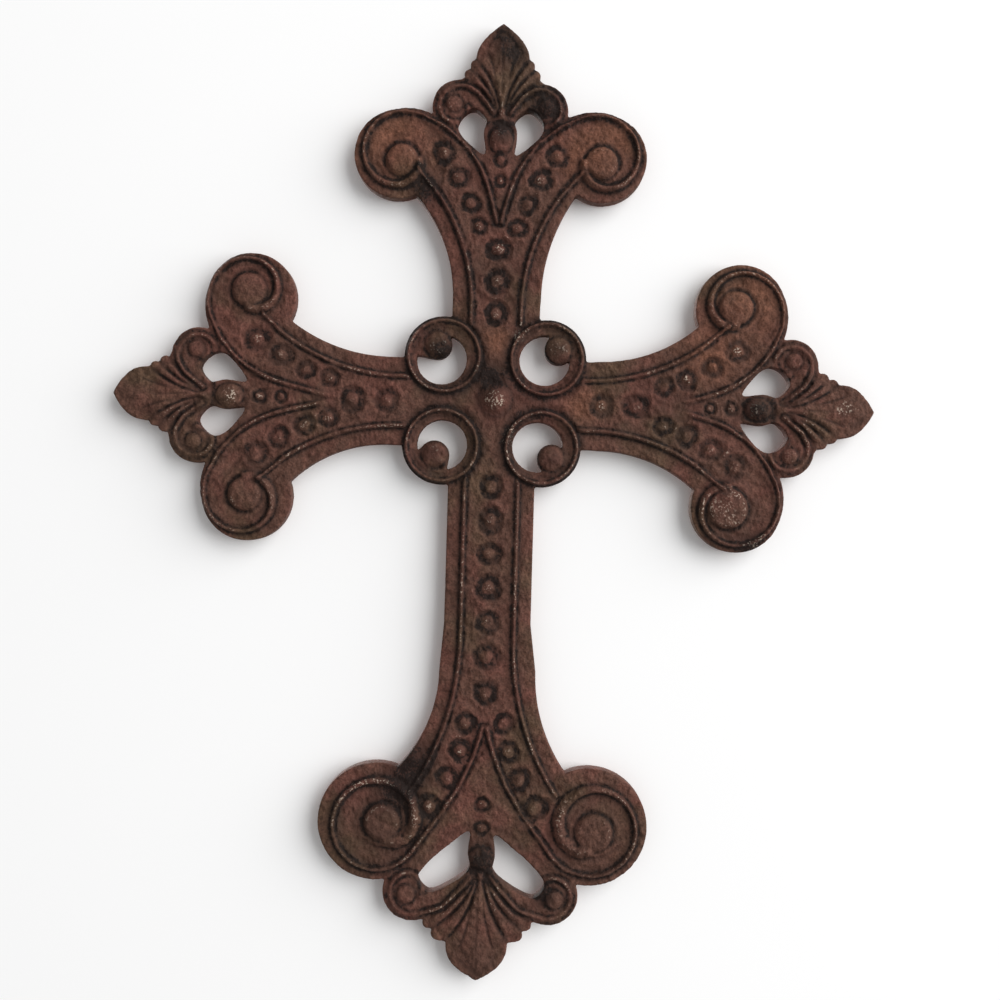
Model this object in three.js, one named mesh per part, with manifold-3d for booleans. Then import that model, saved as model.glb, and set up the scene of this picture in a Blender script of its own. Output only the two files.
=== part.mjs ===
// Cast iron wall cross: four beaded arms that split into scrolls, a leaf finial on each end and a
// crossing pierced by four rings. It is one casting, so it is one solid.
// Every shape is drawn lying on its back, x to the right, y up the wall, z out from the wall, and
// the finished casting is stood up so that its flat back lies on the wall and its front faces -Y.
import * as THREE from 'three';
import { mergeVertices } from 'three/addons/utils/BufferGeometryUtils.js';
import Module from 'manifold-3d';

const wasm = await Module();
wasm.setup();

// Heights above the wall, in millimetres
const EDGE_HEIGHT = 4.2;
const FIELD_HEIGHT = 7.2;
const RIM_HEIGHT = 9.0;
const HOOK_HEIGHT = 8.4;
const FLUTE_HEIGHT = 8.2;
const BEAD_HEIGHT = 8.9;
const EYE_HEIGHT = 9.4;
const SMALL_EYE_HEIGHT = 8.7;
const NODE_HEIGHT = 9.1;
const BOSS_HEIGHT = 10.4;
const LEDGE_HEIGHT = 5.6;
const CREST_HEIGHT = 8.8;
const CLEAR_HEIGHT = 14;

// Widths of the rims where they stand on the field
const RIM_WIDTH = 2.6;
const HOOK_WIDTH = 2.2;
const FLUTE_WIDTH = 2.2;
const MIDRIB_WIDTH = 6.0;

// Widths of the sloping border round scrolls, finial and piercings
const SLOPE = { scroll: 2.8, small: 1.9, lobe: 0.8, leaf: 2.2, piercing: 2.0 };

// Arms: lengths along an arm from the crossing, offsets across it from its middle line
const SHORT_ARM = {
  reach: 128.4,
  edge: { half: 14.8, straightEnd: 33, bowHalf: 14.8, bowStart: 35.5 },
  rim: { half: 8.4, straightEnd: 31, bowHalf: 8.4, bowStart: 32, radius: 66, start: 27, end: 78.5 },
  scroll: { across: 33.9, along: 83.0, radius: 15.1, crown: 20.5, crownAngle: 60 },
  eye: { across: 34.2, along: 82.3, radius: 5.6 },
  curl: { start: 16.6, angle: 126, turn: 306, tightening: 0.95 },
  fork: { along: 60.5, lean: 0.1, pull: 0.42 },
  branchBeads: [[6.6, 57.5, 3.0], [9.4, 65.5, 3.2], [13.8, 74, 3.4], [19.4, 82, 3.6]],
  node: { along: 89, across: 4.7, length: 5.0 },
  piercing: [[5.2, 83.9], [11.0, 88], [14.0, 92.3], [12.8, 96.4], [9.0, 98.8], [5.0, 95.2], [5.9, 91]],
  small: { across: 13.8, along: 99.6, radius: 9.3, end: 84 },
  smallEye: { across: 15.8, along: 100.6, radius: 2.6 },
  lobes: [{ across: 11.0, along: 110.9, radius: 1.9 }, { across: 9.0, along: 114.2, radius: 1.9 }],
  leaf: { half: 9.0, spring: 116.6, heel: 96 },
};

const FOOT_ARM = {
  reach: 194.5,
  edge: { half: 14.6, straightEnd: 74, bowHalf: 15.8, bowStart: 90 },
  rim: { half: 9.0, straightEnd: 78, bowHalf: 9.0, bowStart: 80, radius: 92, start: 25, end: 131.5 },
  scroll: { across: 35.5, along: 141.7, radius: 19.7, crown: 19.7, crownAngle: 60 },
  eye: { across: 35.7, along: 142.6, radius: 6.3 },
  curl: { start: 15.4, angle: 146, turn: 396, tightening: 4 },
  fork: { along: 109, lean: 0.1, pull: 0.4 },
  branchBeads: [[6.2, 107.5, 3.2], [8.2, 116.8, 3.3], [11.9, 126.5, 3.5], [17.8, 135.8, 3.7]],
  node: { along: 152, across: 4.8, length: 5.2 },
  piercing: [
    [4.4, 144.8], [11.4, 150], [18.3, 156.2], [21, 161], [17, 165.2], [9.4, 161.6], [4.3, 157], [4.8, 151.8],
  ],
  small: { across: 23.1, along: 165.3, radius: 10.0, end: 108 },
  smallEye: { across: 25.2, along: 166.4, radius: 3.0 },
  lobes: [{ across: 16.4, along: 175.4, radius: 2.0 }, { across: 13.3, along: 178.9, radius: 2.2 }],
  leaf: { half: 10.4, spring: 181.5, heel: 157 },
};

// Each arm with its turn from upright, its middle beads and the small slips of a hand-made pattern:
// sway moves the head across, lean the leaf, split the fork and nudge the beads; point is how blunt
// the leaf is. The right side and then the left have the radius of the flank's bow, how far it flares,
// and how far the scroll, side scroll, piercing and eye lie outward, further along and larger
const ARMS = [
  {
    size: SHORT_ARM, turn: 0, beads: [30.5, 41.5, 52],
    sway: 0.3, lean: -0.1, split: 0.6, nudge: 2.0, point: 1.9,
    sides: [
      {
        bow: 65, flare: 0.2, scroll: [0.5, 0.6, -0.2], small: [-0.7, -0.5, 0],
        piercing: [-0.2, 0.5, 0.4], eye: [-0.1, -0.4, 0],
      },
      {
        bow: 51, flare: 0, scroll: [0.6, 0.5, -0.2], small: [0.4, 0.3, 0],
        piercing: [0.4, 0.6, 0.3], eye: [-1.0, -0.9, 0],
      },
    ],
  },
  {
    size: SHORT_ARM, turn: 90, beads: [36, 47.5],
    sway: 0.7, lean: 0, split: -6.1, nudge: -2.2, point: 2.6,
    sides: [
      {
        bow: 56, flare: 0, scroll: [-0.6, -0.6, -0.2], small: [-0.4, 0, 0],
        piercing: [0, 0.1, 0.6], eye: [1.4, 0.9, 0.3],
      },
      {
        bow: 46, flare: 0, scroll: [-0.2, -0.6, 0], small: [-0.1, 0.3, 0],
        piercing: [-0.9, 0.5, 0.6], eye: [-1.1, 0.8, 0.2],
      },
    ],
  },
  {
    size: FOOT_ARM, turn: 180, beads: [28, 39.2, 50.4, 61.8, 73.4, 85.2, 97.6],
    sway: 0.3, lean: 0.8, split: 0, nudge: 0, point: 2.7,
    sides: [
      {
        bow: 49, flare: 0, scroll: [0.2, -0.1, 0], small: [-0.2, -0.5, 0],
        piercing: [-0.1, -0.3, 0.3], eye: [-2.1, -0.9, 0],
      },
      {
        bow: 59, flare: 0.9, scroll: [0.4, 0.1, 0.1], small: [-0.1, 0, 0],
        piercing: [0.3, 0.9, 0.4], eye: [2.1, 0.9, 0.1],
      },
    ],
  },
  {
    size: SHORT_ARM, turn: 270, beads: [36.5, 48],
    sway: -0.5, lean: 0.1, split: -0.5, nudge: -0.4, point: 2.6,
    sides: [
      {
        bow: 50, flare: 0.2, scroll: [-0.7, -0.3, 0.2], small: [-0.3, -0.4, 0],
        piercing: [0, 0.1, 0.6], eye: [-0.5, -2.5, 1.3],
      },
      {
        bow: 50, flare: 0.2, scroll: [-0.6, -0.3, 0.2], small: [0.8, 0.4, 0],
        piercing: [-0.3, 0.5, 0.6], eye: [-0.3, -1.4, 0.3],
      },
    ],
  },
];
const MIDDLE_BEAD_RADIUS = 3.4;

// Rings round the crossing, each with a ball hooked in from its outer corner; the fan is how many
// degrees the ball's neck spreads to either side on its way out to the ring
const RING = { radius: 13.3, crest: 11.8, ledge: 10.8, hole: 8.5, sides: 16 };
const RING_PLACES = [
  { x: -17.1, y: 15.9, hole: [-17.9, 14.7], ball: [-19.4, 19.7], fan: [35, 0] },
  { x: 17.6, y: 15.5, hole: [16.9, 15.1], ball: [21.6, 18.8], fan: [15, 0] },
  { x: -17.2, y: -14.3, hole: [-17.1, -14.2], ball: [-19.5, -17.6], fan: [35, 0] },
  { x: 16.5, y: -14.4, hole: [15.2, -14.2], ball: [20.0, -18.0], fan: [0, -10] },
];
const RING_BALL = { radius: 4.9, height: 8.3 };
const BOSS = { x: 0.6, y: 1.6, radius: 5.6 };

const radians = (angle) => (angle * Math.PI) / 180;
const degrees = (angle) => (angle * 180) / Math.PI;
const mirrored = (points) => points.map(([x, y]) => [-x, y]).reverse();
const slipsOf = (arm, side) => arm.sides[side > 0 ? 0 : 1];

// A round feature moved outward and along by a slip, and made larger by it
function slipped(spot, [outward, further, larger]) {
  return {
    ...spot,
    across: spot.across + outward,
    along: spot.along + further,
    radius: spot.radius + larger,
  };
}

function onCircle(x, y, radius, angle) {
  return [x + radius * Math.cos(radians(angle)), y + radius * Math.sin(radians(angle))];
}

// Points round an arc, both ends included
function arc(x, y, radius, from, to, count) {
  const step = (to - from) / count;
  return Array.from({ length: count + 1 }, (_, i) => onCircle(x, y, radius, from + step * i));
}

// Angle on the first circle at which it crosses the second, on the side away from the middle line
function crossingAngle(x, y, radius, otherX, otherY, otherRadius) {
  const gap = Math.hypot(otherX - x, otherY - y);
  const along = (gap * gap + radius * radius - otherRadius * otherRadius) / (2 * gap);
  const heading = Math.atan2(otherY - y, otherX - x);
  return degrees(heading - Math.acos(Math.min(1, along / radius)));
}

// Half width of a flank or rim along the arm: straight, then a bow that opens to the scroll
function flankWidth(line, along) {
  if (along <= line.straightEnd) return line.half;
  if (along <= line.bowStart) {
    const part = (along - line.straightEnd) / (line.bowStart - line.straightEnd);
    return line.half + (line.bowHalf - line.half) * part;
  }
  const rise = along - line.bowStart;
  return line.bowHalf + line.radius - Math.sqrt(line.radius * line.radius - rise * rise);
}

// Length along the arm at which a flank runs into the scroll
function flankEnd(line, across, along, radius) {
  let low = line.bowStart;
  let high = along;
  for (let i = 0; i < 40; i += 1) {
    const middle = (low + high) / 2;
    const gap = Math.hypot(flankWidth(line, middle) - across, middle - along) - radius;
    if (gap > 0) low = middle;
    else high = middle;
  }
  return low;
}

// Right half of an arm's outline, from the crossing to the tip; raised is 0 at the edge, 1 at the field
function halfOutline(arm, side, raised) {
  const { size, point } = arm;
  const slips = slipsOf(arm, side);
  const { edge, leaf, lobes } = size;
  const lean = side * arm.lean;
  const scroll = slipped(size.scroll, slips.scroll);
  const small = slipped(size.small, slips.small);
  const brink = { ...size.rim, half: size.rim.half + 0.6, bowHalf: size.rim.bowHalf + 0.6 };
  const line = raised ? brink : { ...edge, bowHalf: edge.bowHalf + slips.flare, radius: slips.bow };
  const radius = scroll.radius - raised * SLOPE.scroll;
  const end = flankEnd(line, scroll.across, scroll.along, radius);
  const points = [[line.half, line.half], [line.half, line.straightEnd], [line.bowHalf, line.bowStart]];
  for (let i = 1; i <= 6; i += 1) {
    const place = line.bowStart + ((end - line.bowStart) * i) / 6;
    points.push([flankWidth(line, place), place]);
  }

  const notch = degrees(Math.atan2(end - scroll.along, flankWidth(line, end) - scroll.across));
  points.push(...arc(scroll.across, scroll.along, radius, notch, scroll.crownAngle, 10).slice(1));
  const inset = scroll.radius - scroll.crown;
  const [backX, backY] = onCircle(scroll.across, scroll.along, inset, scroll.crownAngle);
  const meet = 360 + crossingAngle(backX, backY, scroll.crown, small.across, small.along, small.radius);
  const crownEnd = meet % 360;
  const [meetX, meetY] = onCircle(backX, backY, scroll.crown, crownEnd);
  const crownRadius = scroll.crown - raised * SLOPE.scroll;
  points.push(...arc(backX, backY, crownRadius, scroll.crownAngle, crownEnd, 3).slice(1));
  const smallStart = degrees(Math.atan2(meetY - small.along, meetX - small.across));
  const smallRadius = small.radius - raised * SLOPE.small;
  points.push(...arc(small.across, small.along, smallRadius, smallStart, small.end, 5).slice(1));

  for (const lobe of lobes) {
    points.push(...arc(lobe.across + lean, lobe.along, lobe.radius - raised * SLOPE.lobe, -10, 60, 1));
  }
  const tall = size.reach - leaf.spring - raised * SLOPE.leaf;
  const half = leaf.half - raised * SLOPE.leaf;
  for (let i = 0; i <= 4; i += 1) {
    const part = i / 5;
    points.push([half * (1 - part ** point) + lean, leaf.spring + tall * part]);
  }
  return points;
}

// Moves points of an upright arm to their place on the cross
function placed(points, { size, turn, sway }) {
  const angle = radians(turn);
  return points.map(([x, y]) => {
    const across = x + sway * Math.min(1, Math.max(0, y / size.scroll.along));
    return [across * Math.cos(angle) - y * Math.sin(angle), across * Math.sin(angle) + y * Math.cos(angle)];
  });
}

function outlineAt(raised) {
  return ARMS.flatMap((arm) => {
    const right = halfOutline(arm, 1, raised);
    const left = halfOutline(arm, -1, raised);
    const tip = [arm.lean, arm.size.reach - raised * SLOPE.leaf];
    return placed([...right, tip, ...mirrored(left).slice(0, -1)], arm);
  });
}

// Piercings beside a finial stem, opened by the given width
function piercingsAt(open) {
  return ARMS.flatMap((arm) => [1, -1].map((side) => {
    const [outward, further, larger] = slipsOf(arm, side).piercing;
    const place = ([x, y]) => new THREE.Vector3(side * (x + outward), y + further, 0);
    const knots = arm.size.piercing.map(place);
    const ring = new THREE.CatmullRomCurve3(knots, true).getPoints(10).slice(0, -1);
    const total = ring.reduce((sum, point) => sum.add(point), new THREE.Vector3());
    const middle = total.divideScalar(ring.length);
    const opened = ring.map((point) => {
      const away = point.clone().sub(middle);
      return point.clone().addScaledVector(away.normalize(), open + larger);
    });
    const turnedRight = side > 0 ? opened.reverse() : opened;
    return placed(turnedRight.map((point) => [point.x, point.y]), arm);
  }));
}

// Closed shell as a solid that can be joined and cut
function solidOf(geometry) {
  geometry.deleteAttribute('normal');
  geometry.deleteAttribute('uv');
  const shell = mergeVertices(geometry, 1e-4);
  const mesh = new wasm.Mesh({
    numProp: 3,
    vertProperties: new Float32Array(shell.attributes.position.array),
    triVerts: new Uint32Array(shell.index.array),
  });
  return new wasm.Manifold(mesh);
}

function joined(solids) {
  return solids.reduce((whole, next) => whole.add(next));
}

// Body with matching outlines stacked at given heights, the first outline of a level being the outside
function stacked(levels) {
  const corners = [];
  const faces = [];
  const starts = levels.map(({ height, loops }) => {
    const start = corners.length;
    loops.flat().forEach(([x, y]) => corners.push([x, y, height]));
    return start;
  });
  levels[0].loops.reduce((offset, loop) => {
    for (let level = 0; level + 1 < levels.length; level += 1) {
      loop.forEach((_, i) => {
        const next = (i + 1) % loop.length;
        const [a, b] = [starts[level] + offset + i, starts[level] + offset + next];
        const [c, d] = [starts[level + 1] + offset + next, starts[level + 1] + offset + i];
        faces.push([a, b, c], [a, c, d]);
      });
    }
    return offset + loop.length;
  }, 0);
  [0, levels.length - 1].forEach((level) => {
    const loops = levels[level].loops.map((loop) => loop.map(([x, y]) => new THREE.Vector2(x, y)));
    const [outside, ...holes] = loops;
    THREE.ShapeUtils.triangulateShape(outside, holes).forEach((face) => {
      const [a, b, c] = face.map((index) => index + starts[level]);
      const turn = (corners[b][0] - corners[a][0]) * (corners[c][1] - corners[a][1])
        - (corners[b][1] - corners[a][1]) * (corners[c][0] - corners[a][0]);
      faces.push(turn > 0 === level > 0 ? [a, b, c] : [a, c, b]);
    });
  });
  const geometry = new THREE.BufferGeometry();
  geometry.setAttribute('position', new THREE.Float32BufferAttribute(corners.flat(), 3));
  geometry.setIndex(faces.flat());
  return solidOf(geometry);
}

function disc(x, y, radius, low, high, sides) {
  const geometry = new THREE.CylinderGeometry(radius, radius, high - low, sides);
  geometry.rotateX(Math.PI / 2);
  return solidOf(geometry.translate(x, y, (low + high) / 2));
}

// Flattened ball sunk in the field, so that a dome stands out to the given height
function dome([x, y], radius, high, sides, floor = FIELD_HEIGHT, length = radius, turn = 0) {
  const sunk = floor - 0.5;
  const geometry = new THREE.SphereGeometry(1, sides, 4);
  geometry.rotateX(Math.PI / 2);
  geometry.scale(radius, length, high - sunk);
  geometry.rotateZ(radians(turn));
  return solidOf(geometry.translate(x, y, sunk));
}

// Raised rim with one crest along a line of points
function rim(points, steps, high, width) {
  const low = FIELD_HEIGHT - 0.6;
  const path = new THREE.CatmullRomCurve3(points.map(([x, y]) => new THREE.Vector3(x, y, low)));
  const foot = (width / 2) * ((high - low) / (high - FIELD_HEIGHT));
  const section = new THREE.Shape();
  section.moveTo(0, -foot);
  section.lineTo(low - high, 0);
  section.lineTo(0, foot);
  return solidOf(new THREE.ExtrudeGeometry(section, { steps, extrudePath: path, bevelEnabled: false }));
}

// Volute rim: leaves the fork, sweeps out to the scroll and winds round the eye
function voluteLine(arm, side) {
  const { curl, fork } = arm.size;
  const slips = slipsOf(arm, side);
  const outset = slipped(arm.size.eye, slips.scroll);
  const eye = slipped(arm.size.eye, slips.eye);
  const wind = (part) => {
    const reach = eye.radius + (curl.start - eye.radius) * (1 - part ** curl.tightening);
    const angle = curl.angle - curl.turn * part;
    const across = outset.across + (eye.across - outset.across) * part;
    const along = outset.along + (eye.along - outset.along) * part;
    return new THREE.Vector2(...onCircle(across, along, reach, angle));
  };
  const begin = new THREE.Vector2(0.7, fork.along + arm.split);
  const meet = wind(0);
  const heading = wind(0.01).sub(meet).normalize();
  const span = begin.distanceTo(meet);
  const lead = new THREE.Vector2(begin.x + fork.lean * span, begin.y + fork.pull * span);
  const approach = meet.clone().addScaledVector(heading, -fork.pull * span);
  const branch = new THREE.CubicBezierCurve(begin, lead, approach, meet).getPoints(8);
  const turns = Array.from({ length: 22 }, (_, i) => wind((i + 1) / 22));
  return [...branch, ...turns].map((point) => [point.x, point.y]);
}

// Rims, beads and eyes that stand on one arm
function armRelief(arm) {
  const { size, lean, nudge, beads, turn } = arm;
  const { leaf, node, rim: border } = size;
  const at = (x, y) => placed([[x, y]], arm)[0];
  const lined = (points, side) => placed(points.map(([x, y]) => [side * x, y]), arm);
  const heel = leaf.heel + 1;
  const knot = at(0, node.along);
  const midrib = [[0, heel], [lean, leaf.spring], [lean, size.reach - 3]];
  const relief = beads.map((along) => dome(at(0, along), MIDDLE_BEAD_RADIUS, BEAD_HEIGHT, 6));
  relief.push(dome(knot, node.across, NODE_HEIGHT, 8, FIELD_HEIGHT - 2, node.length, turn));
  relief.push(rim(lined(midrib, 1), 3, FLUTE_HEIGHT, MIDRIB_WIDTH));

  for (const side of [1, -1]) {
    const slips = slipsOf(arm, side);
    const eye = slipped(size.eye, slips.eye);
    const small = slipped(size.small, slips.small);
    const smallEye = slipped(size.smallEye, slips.small);
    const flank = [border.start, border.straightEnd];
    for (let i = 0; i <= 5; i += 1) {
      flank.push(border.bowStart + ((border.end - border.bowStart) * i) / 5);
    }
    const flankLine = flank.map((along) => [flankWidth(border, along), along]);
    relief.push(rim(lined(flankLine, side), 5, RIM_HEIGHT, RIM_WIDTH));
    relief.push(rim(lined(voluteLine(arm, side), side), 16, RIM_HEIGHT, RIM_WIDTH));
    relief.push(dome(at(side * eye.across, eye.along), eye.radius, EYE_HEIGHT, 8));
    for (const [across, along, radius] of size.branchBeads) {
      relief.push(dome(at(side * across, along + nudge), radius, BEAD_HEIGHT, 6));
    }

    const hook = [[2.2, heel], [0.5 * small.across, small.along + 0.42 * small.radius]];
    for (let i = 0; i <= 6; i += 1) {
      const reach = small.radius - 3.1 - 0.25 * i;
      hook.push(onCircle(small.across, small.along, reach, 112 - 34 * i));
    }
    relief.push(rim(lined(hook, side), 5, HOOK_HEIGHT, HOOK_WIDTH));
    const smallEyeAt = at(side * smallEye.across, smallEye.along);
    relief.push(dome(smallEyeAt, smallEye.radius, SMALL_EYE_HEIGHT, 6));
    for (const lobe of size.lobes) {
      const start = [0.24 * lobe.across + 1, heel + 0.34 * (lobe.along - heel)];
      const bend = [0.56 * lobe.across, heel + 0.66 * (lobe.along - heel)];
      const flute = [start, bend, [lobe.across + side * lean, lobe.along]];
      relief.push(rim(lined(flute, side), 2, FLUTE_HEIGHT, FLUTE_WIDTH));
    }
  }
  return joined(relief);
}

// One ring: bead crest near its outside, a ledge sloping in to the hole, a ball hooked in from a corner
function buildRing({ x, y, hole, ball, fan }) {
  const section = [
    [0, 0],
    [RING.radius, 0],
    [RING.radius, EDGE_HEIGHT],
    [RING.crest + 0.8, FIELD_HEIGHT + 0.2],
    [RING.crest + 0.5, CREST_HEIGHT],
    [RING.crest - 0.5, CREST_HEIGHT],
    [RING.ledge, FIELD_HEIGHT],
    [RING.hole, LEDGE_HEIGHT],
    [0, LEDGE_HEIGHT],
  ];
  const profile = section.map(([radius, height]) => new THREE.Vector2(radius, height));
  const lathe = new THREE.LatheGeometry(profile, RING.sides);
  const corner = Math.atan2(Math.sign(y), Math.sign(x));
  const necks = fan.map((spread) => {
    const neck = new THREE.BoxGeometry(RING.radius, RING_BALL.radius * 1.9, CLEAR_HEIGHT * 3);
    neck.translate(RING.radius / 2, 0, 0).rotateZ(corner + radians(spread));
    return solidOf(neck.translate(...ball, 0));
  });
  const kept = joined([disc(...ball, RING_BALL.radius, -3, CLEAR_HEIGHT + 2, 12), ...necks]);
  const bore = disc(...hole, RING.hole, -2, CLEAR_HEIGHT, RING.sides);
  return {
    seat: disc(x, y, RING.crest + 0.7, 1, CLEAR_HEIGHT, RING.sides),
    body: solidOf(lathe.rotateX(Math.PI / 2).translate(x, y, 0)),
    ball: dome(ball, RING_BALL.radius, RING_BALL.height, 8, LEDGE_HEIGHT),
    hole: bore.subtract(kept),
  };
}

function buildCasting() {
  const rings = RING_PLACES.map(buildRing);
  const ringsOf = (kind) => joined(rings.map((ring) => ring[kind]));
  const edge = [outlineAt(0), ...piercingsAt(0)];
  const field = [outlineAt(1), ...piercingsAt(SLOPE.piercing)];
  const ground = stacked([
    { height: 0, loops: edge },
    { height: EDGE_HEIGHT, loops: edge },
    { height: FIELD_HEIGHT, loops: field },
  ]);
  const boss = dome([BOSS.x, BOSS.y], BOSS.radius, BOSS_HEIGHT, 10);
  const relief = joined(ARMS.map(armRelief)).add(boss);
  const plate = ground.add(relief).subtract(ringsOf('seat'));
  return plate.add(ringsOf('body')).subtract(ringsOf('hole')).add(ringsOf('ball'));
}

function meshOf(solid, name, colour) {
  const { vertProperties, triVerts } = solid.getMesh();
  const geometry = new THREE.BufferGeometry();
  geometry.setAttribute('position', new THREE.BufferAttribute(new Float32Array(vertProperties), 3));
  geometry.setIndex(new THREE.BufferAttribute(new Uint32Array(triVerts), 1));
  geometry.rotateX(Math.PI / 2);
  const mesh = new THREE.Mesh(geometry, new THREE.MeshStandardMaterial({ color: colour, roughness: 0.8 }));
  mesh.name = name;
  return mesh;
}

const cross = new THREE.Group();
cross.name = 'wall_cross';
cross.add(meshOf(buildCasting(), 'cast_cross', 0x503830));
export default cross;
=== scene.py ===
"""Cast iron wall cross: the fine casting, its rust patina and a plain pale wall behind it.

The casting is drawn lying on its back in millimetres, x to the right and y up the wall, and stood
up with its flat back on the wall at Y = 0 and its front facing -Y.
"""
import logging
import math
from dataclasses import dataclass
from enum import Enum
from typing import Any

import bmesh
import bpy
import numpy as np
from mathutils import Matrix, Vector


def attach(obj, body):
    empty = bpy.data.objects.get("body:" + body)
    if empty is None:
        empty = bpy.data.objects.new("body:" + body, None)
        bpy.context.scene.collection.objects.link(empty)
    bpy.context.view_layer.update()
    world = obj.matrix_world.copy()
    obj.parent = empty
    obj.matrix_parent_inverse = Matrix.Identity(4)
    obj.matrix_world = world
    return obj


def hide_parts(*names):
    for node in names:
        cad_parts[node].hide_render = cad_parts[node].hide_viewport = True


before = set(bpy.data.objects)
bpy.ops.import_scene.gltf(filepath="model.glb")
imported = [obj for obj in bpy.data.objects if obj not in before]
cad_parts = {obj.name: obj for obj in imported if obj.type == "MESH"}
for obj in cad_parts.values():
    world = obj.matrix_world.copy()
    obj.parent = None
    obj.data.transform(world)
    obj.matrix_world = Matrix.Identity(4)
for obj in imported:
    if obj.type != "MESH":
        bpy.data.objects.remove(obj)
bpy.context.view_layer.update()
LOG = logging.getLogger("wall_cross")

MM = 0.001
NODE = "cast_cross"

# Heights above the wall in millimetres, and how far some parts rise above their foot or ground
EDGE = 4.2
FIELD = 7.2
FINIAL = 7.0
LEDGE = 5.6
RING_GROUND = 7.0
RING_RISE = 1.3
RING_FOOT = 5.0
KNOT_FOOT = 5.1
KNOT_TOP = 8.7
BEAD_GROUND = 6.9
BOSS_FOOT = 6.4
BOSS_RISE = 4.1

# Depths of the funnels round the beads, and the share of a funnel that its bead fills
MIDDLE_PIT = 2.3
BRANCH_PIT = 2.1
STEM_PIT = 1.4
BEAD_SHARE = 0.5

# Points of a curve for each millimetre of it
FINENESS = 0.9

# What is kept at each point of the casting for its patina, its painted shade and its painted highlights
PATINA_AND_LIGHT = ("soot_and_shade", "wear_and_glint", "rust")

Points = np.ndarray
Grid = np.ndarray


class Side(Enum):
    """The two sides of an arm, seen with its tip upward."""

    RIGHT = 1
    LEFT = -1


@dataclass(frozen=True)
class Spot:
    """A round feature on an arm: offset across it, length along it and radius."""

    across: float
    along: float
    radius: float

    def moved(self, slip: "Spot") -> "Spot":
        """This spot moved outward and along by a slip, and made larger by it."""
        return Spot(self.across + slip.across, self.along + slip.along, self.radius + slip.radius)


@dataclass(frozen=True)
class Cut:
    """A ridge, a groove or a line of soot beside an edge: its strength, its offset and its half width."""

    strength: float
    offset: float
    width: float

    def at(self, distance: Grid) -> Grid:
        """How strong the cut is at distances from the edge."""
        return self.strength * swell(distance - self.offset, self.width)


@dataclass(frozen=True)
class Sweep:
    """A flank or a rim along it: straight, then a bow that opens to the scroll."""

    half: float
    straight_end: float
    bow_half: float
    bow_start: float
    radius: float
    start: float = 0.0
    end: float = 0.0

    def width(self, along: Grid) -> Grid:
        """Half width of the line.

        Args:
            along: Lengths along the arm.

        Returns:
            The offset of the line from the arm's middle at each length.
        """
        straight = np.interp(along, [self.straight_end, self.bow_start], [self.half, self.bow_half])
        rise = np.clip(np.asarray(along) - self.bow_start, 0.0, 0.98 * self.radius)
        return straight + self.radius - np.sqrt(self.radius**2 - rise**2)


@dataclass(frozen=True)
class Curl:
    """The volute rim: its start on the scroll, how it winds in, and its half width at either end."""

    start: float
    angle: float
    turn: float
    tightening: float
    join: float
    thin: float
    thick: float


@dataclass(frozen=True)
class Fork:
    """The point where an arm's field splits in two, and how the rim leaves it."""

    along: float
    lean: float
    pull: float


@dataclass(frozen=True)
class Leaf:
    """The pointed leaf of a finial: its half width, where it springs and the heel of its stem."""

    half: float
    spring: float
    heel: float


@dataclass(frozen=True)
class ArmSize:
    """Sizes of one kind of arm, in millimetres across and along it."""

    reach: float
    edge: Sweep
    rim: Sweep
    scroll: Spot
    crown: float
    crown_angle: float
    eye: Spot
    crescent: tuple[float, float]
    curl: Curl
    fork: Fork
    beads: tuple[Spot, ...]
    stem_beads: tuple[Spot, ...]
    knot: Spot
    piercing: tuple[tuple[float, float], ...]
    small: Spot
    small_end: float
    small_eye: Spot
    lobes: tuple[Spot, ...]
    leaf: Leaf


@dataclass(frozen=True)
class Slips:
    """How one side of an arm strays from the even pattern.

    The bow is the radius of the flank's sweep and the flare widens it. Each spot says how far a
    feature lies outward, further along and larger than the pattern has it.
    """

    bow: float
    flare: float
    scroll: Spot
    small: Spot
    piercing: Spot
    eye: Spot


@dataclass(frozen=True)
class Arm:
    """One arm in its place, with the small slips of a hand-made pattern.

    Sway moves the head across, lean the leaf, split the fork and nudge the beads. The point is how
    blunt the leaf is, grime_and_shade how black its hollows and the painted shadow beside its eyes
    are, and fade the share of the branch over which its rim rises out of the field.
    """

    size: ArmSize
    turn: float
    middle_beads: tuple[float, ...]
    sway: float
    lean: float
    split: float
    nudge: float
    point: float
    grime_and_shade: float
    fade: float
    sides: tuple[Slips, Slips]

    def own(self, x: Grid, y: Grid) -> tuple[Grid, Grid]:
        """Places on the cross as places across and along this arm, before its sway."""
        cosine, sine = math.cos(math.radians(self.turn)), math.sin(math.radians(self.turn))
        return x * cosine + y * sine, y * cosine - x * sine

    def swayed(self, along: Grid) -> Grid:
        """How far the arm's middle has moved across at lengths along it."""
        return self.sway * np.clip(along / self.size.scroll.along, 0.0, 1.0)


@dataclass(frozen=True)
class Ring:
    """A pierced ring at the crossing: its middle, its hole and the ball hooked in from its corner."""

    middle: tuple[float, float]
    hole: tuple[float, float]
    ball: tuple[float, float]
    fan: tuple[float, float]

    RADIUS = 13.3
    CREST = 12.0
    INNER = 11.0
    HOLE = 8.5
    BALL = 4.9
    DOME = 4.5
    BALL_FOOT = 5.8
    BALL_RISE = 2.6


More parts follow.
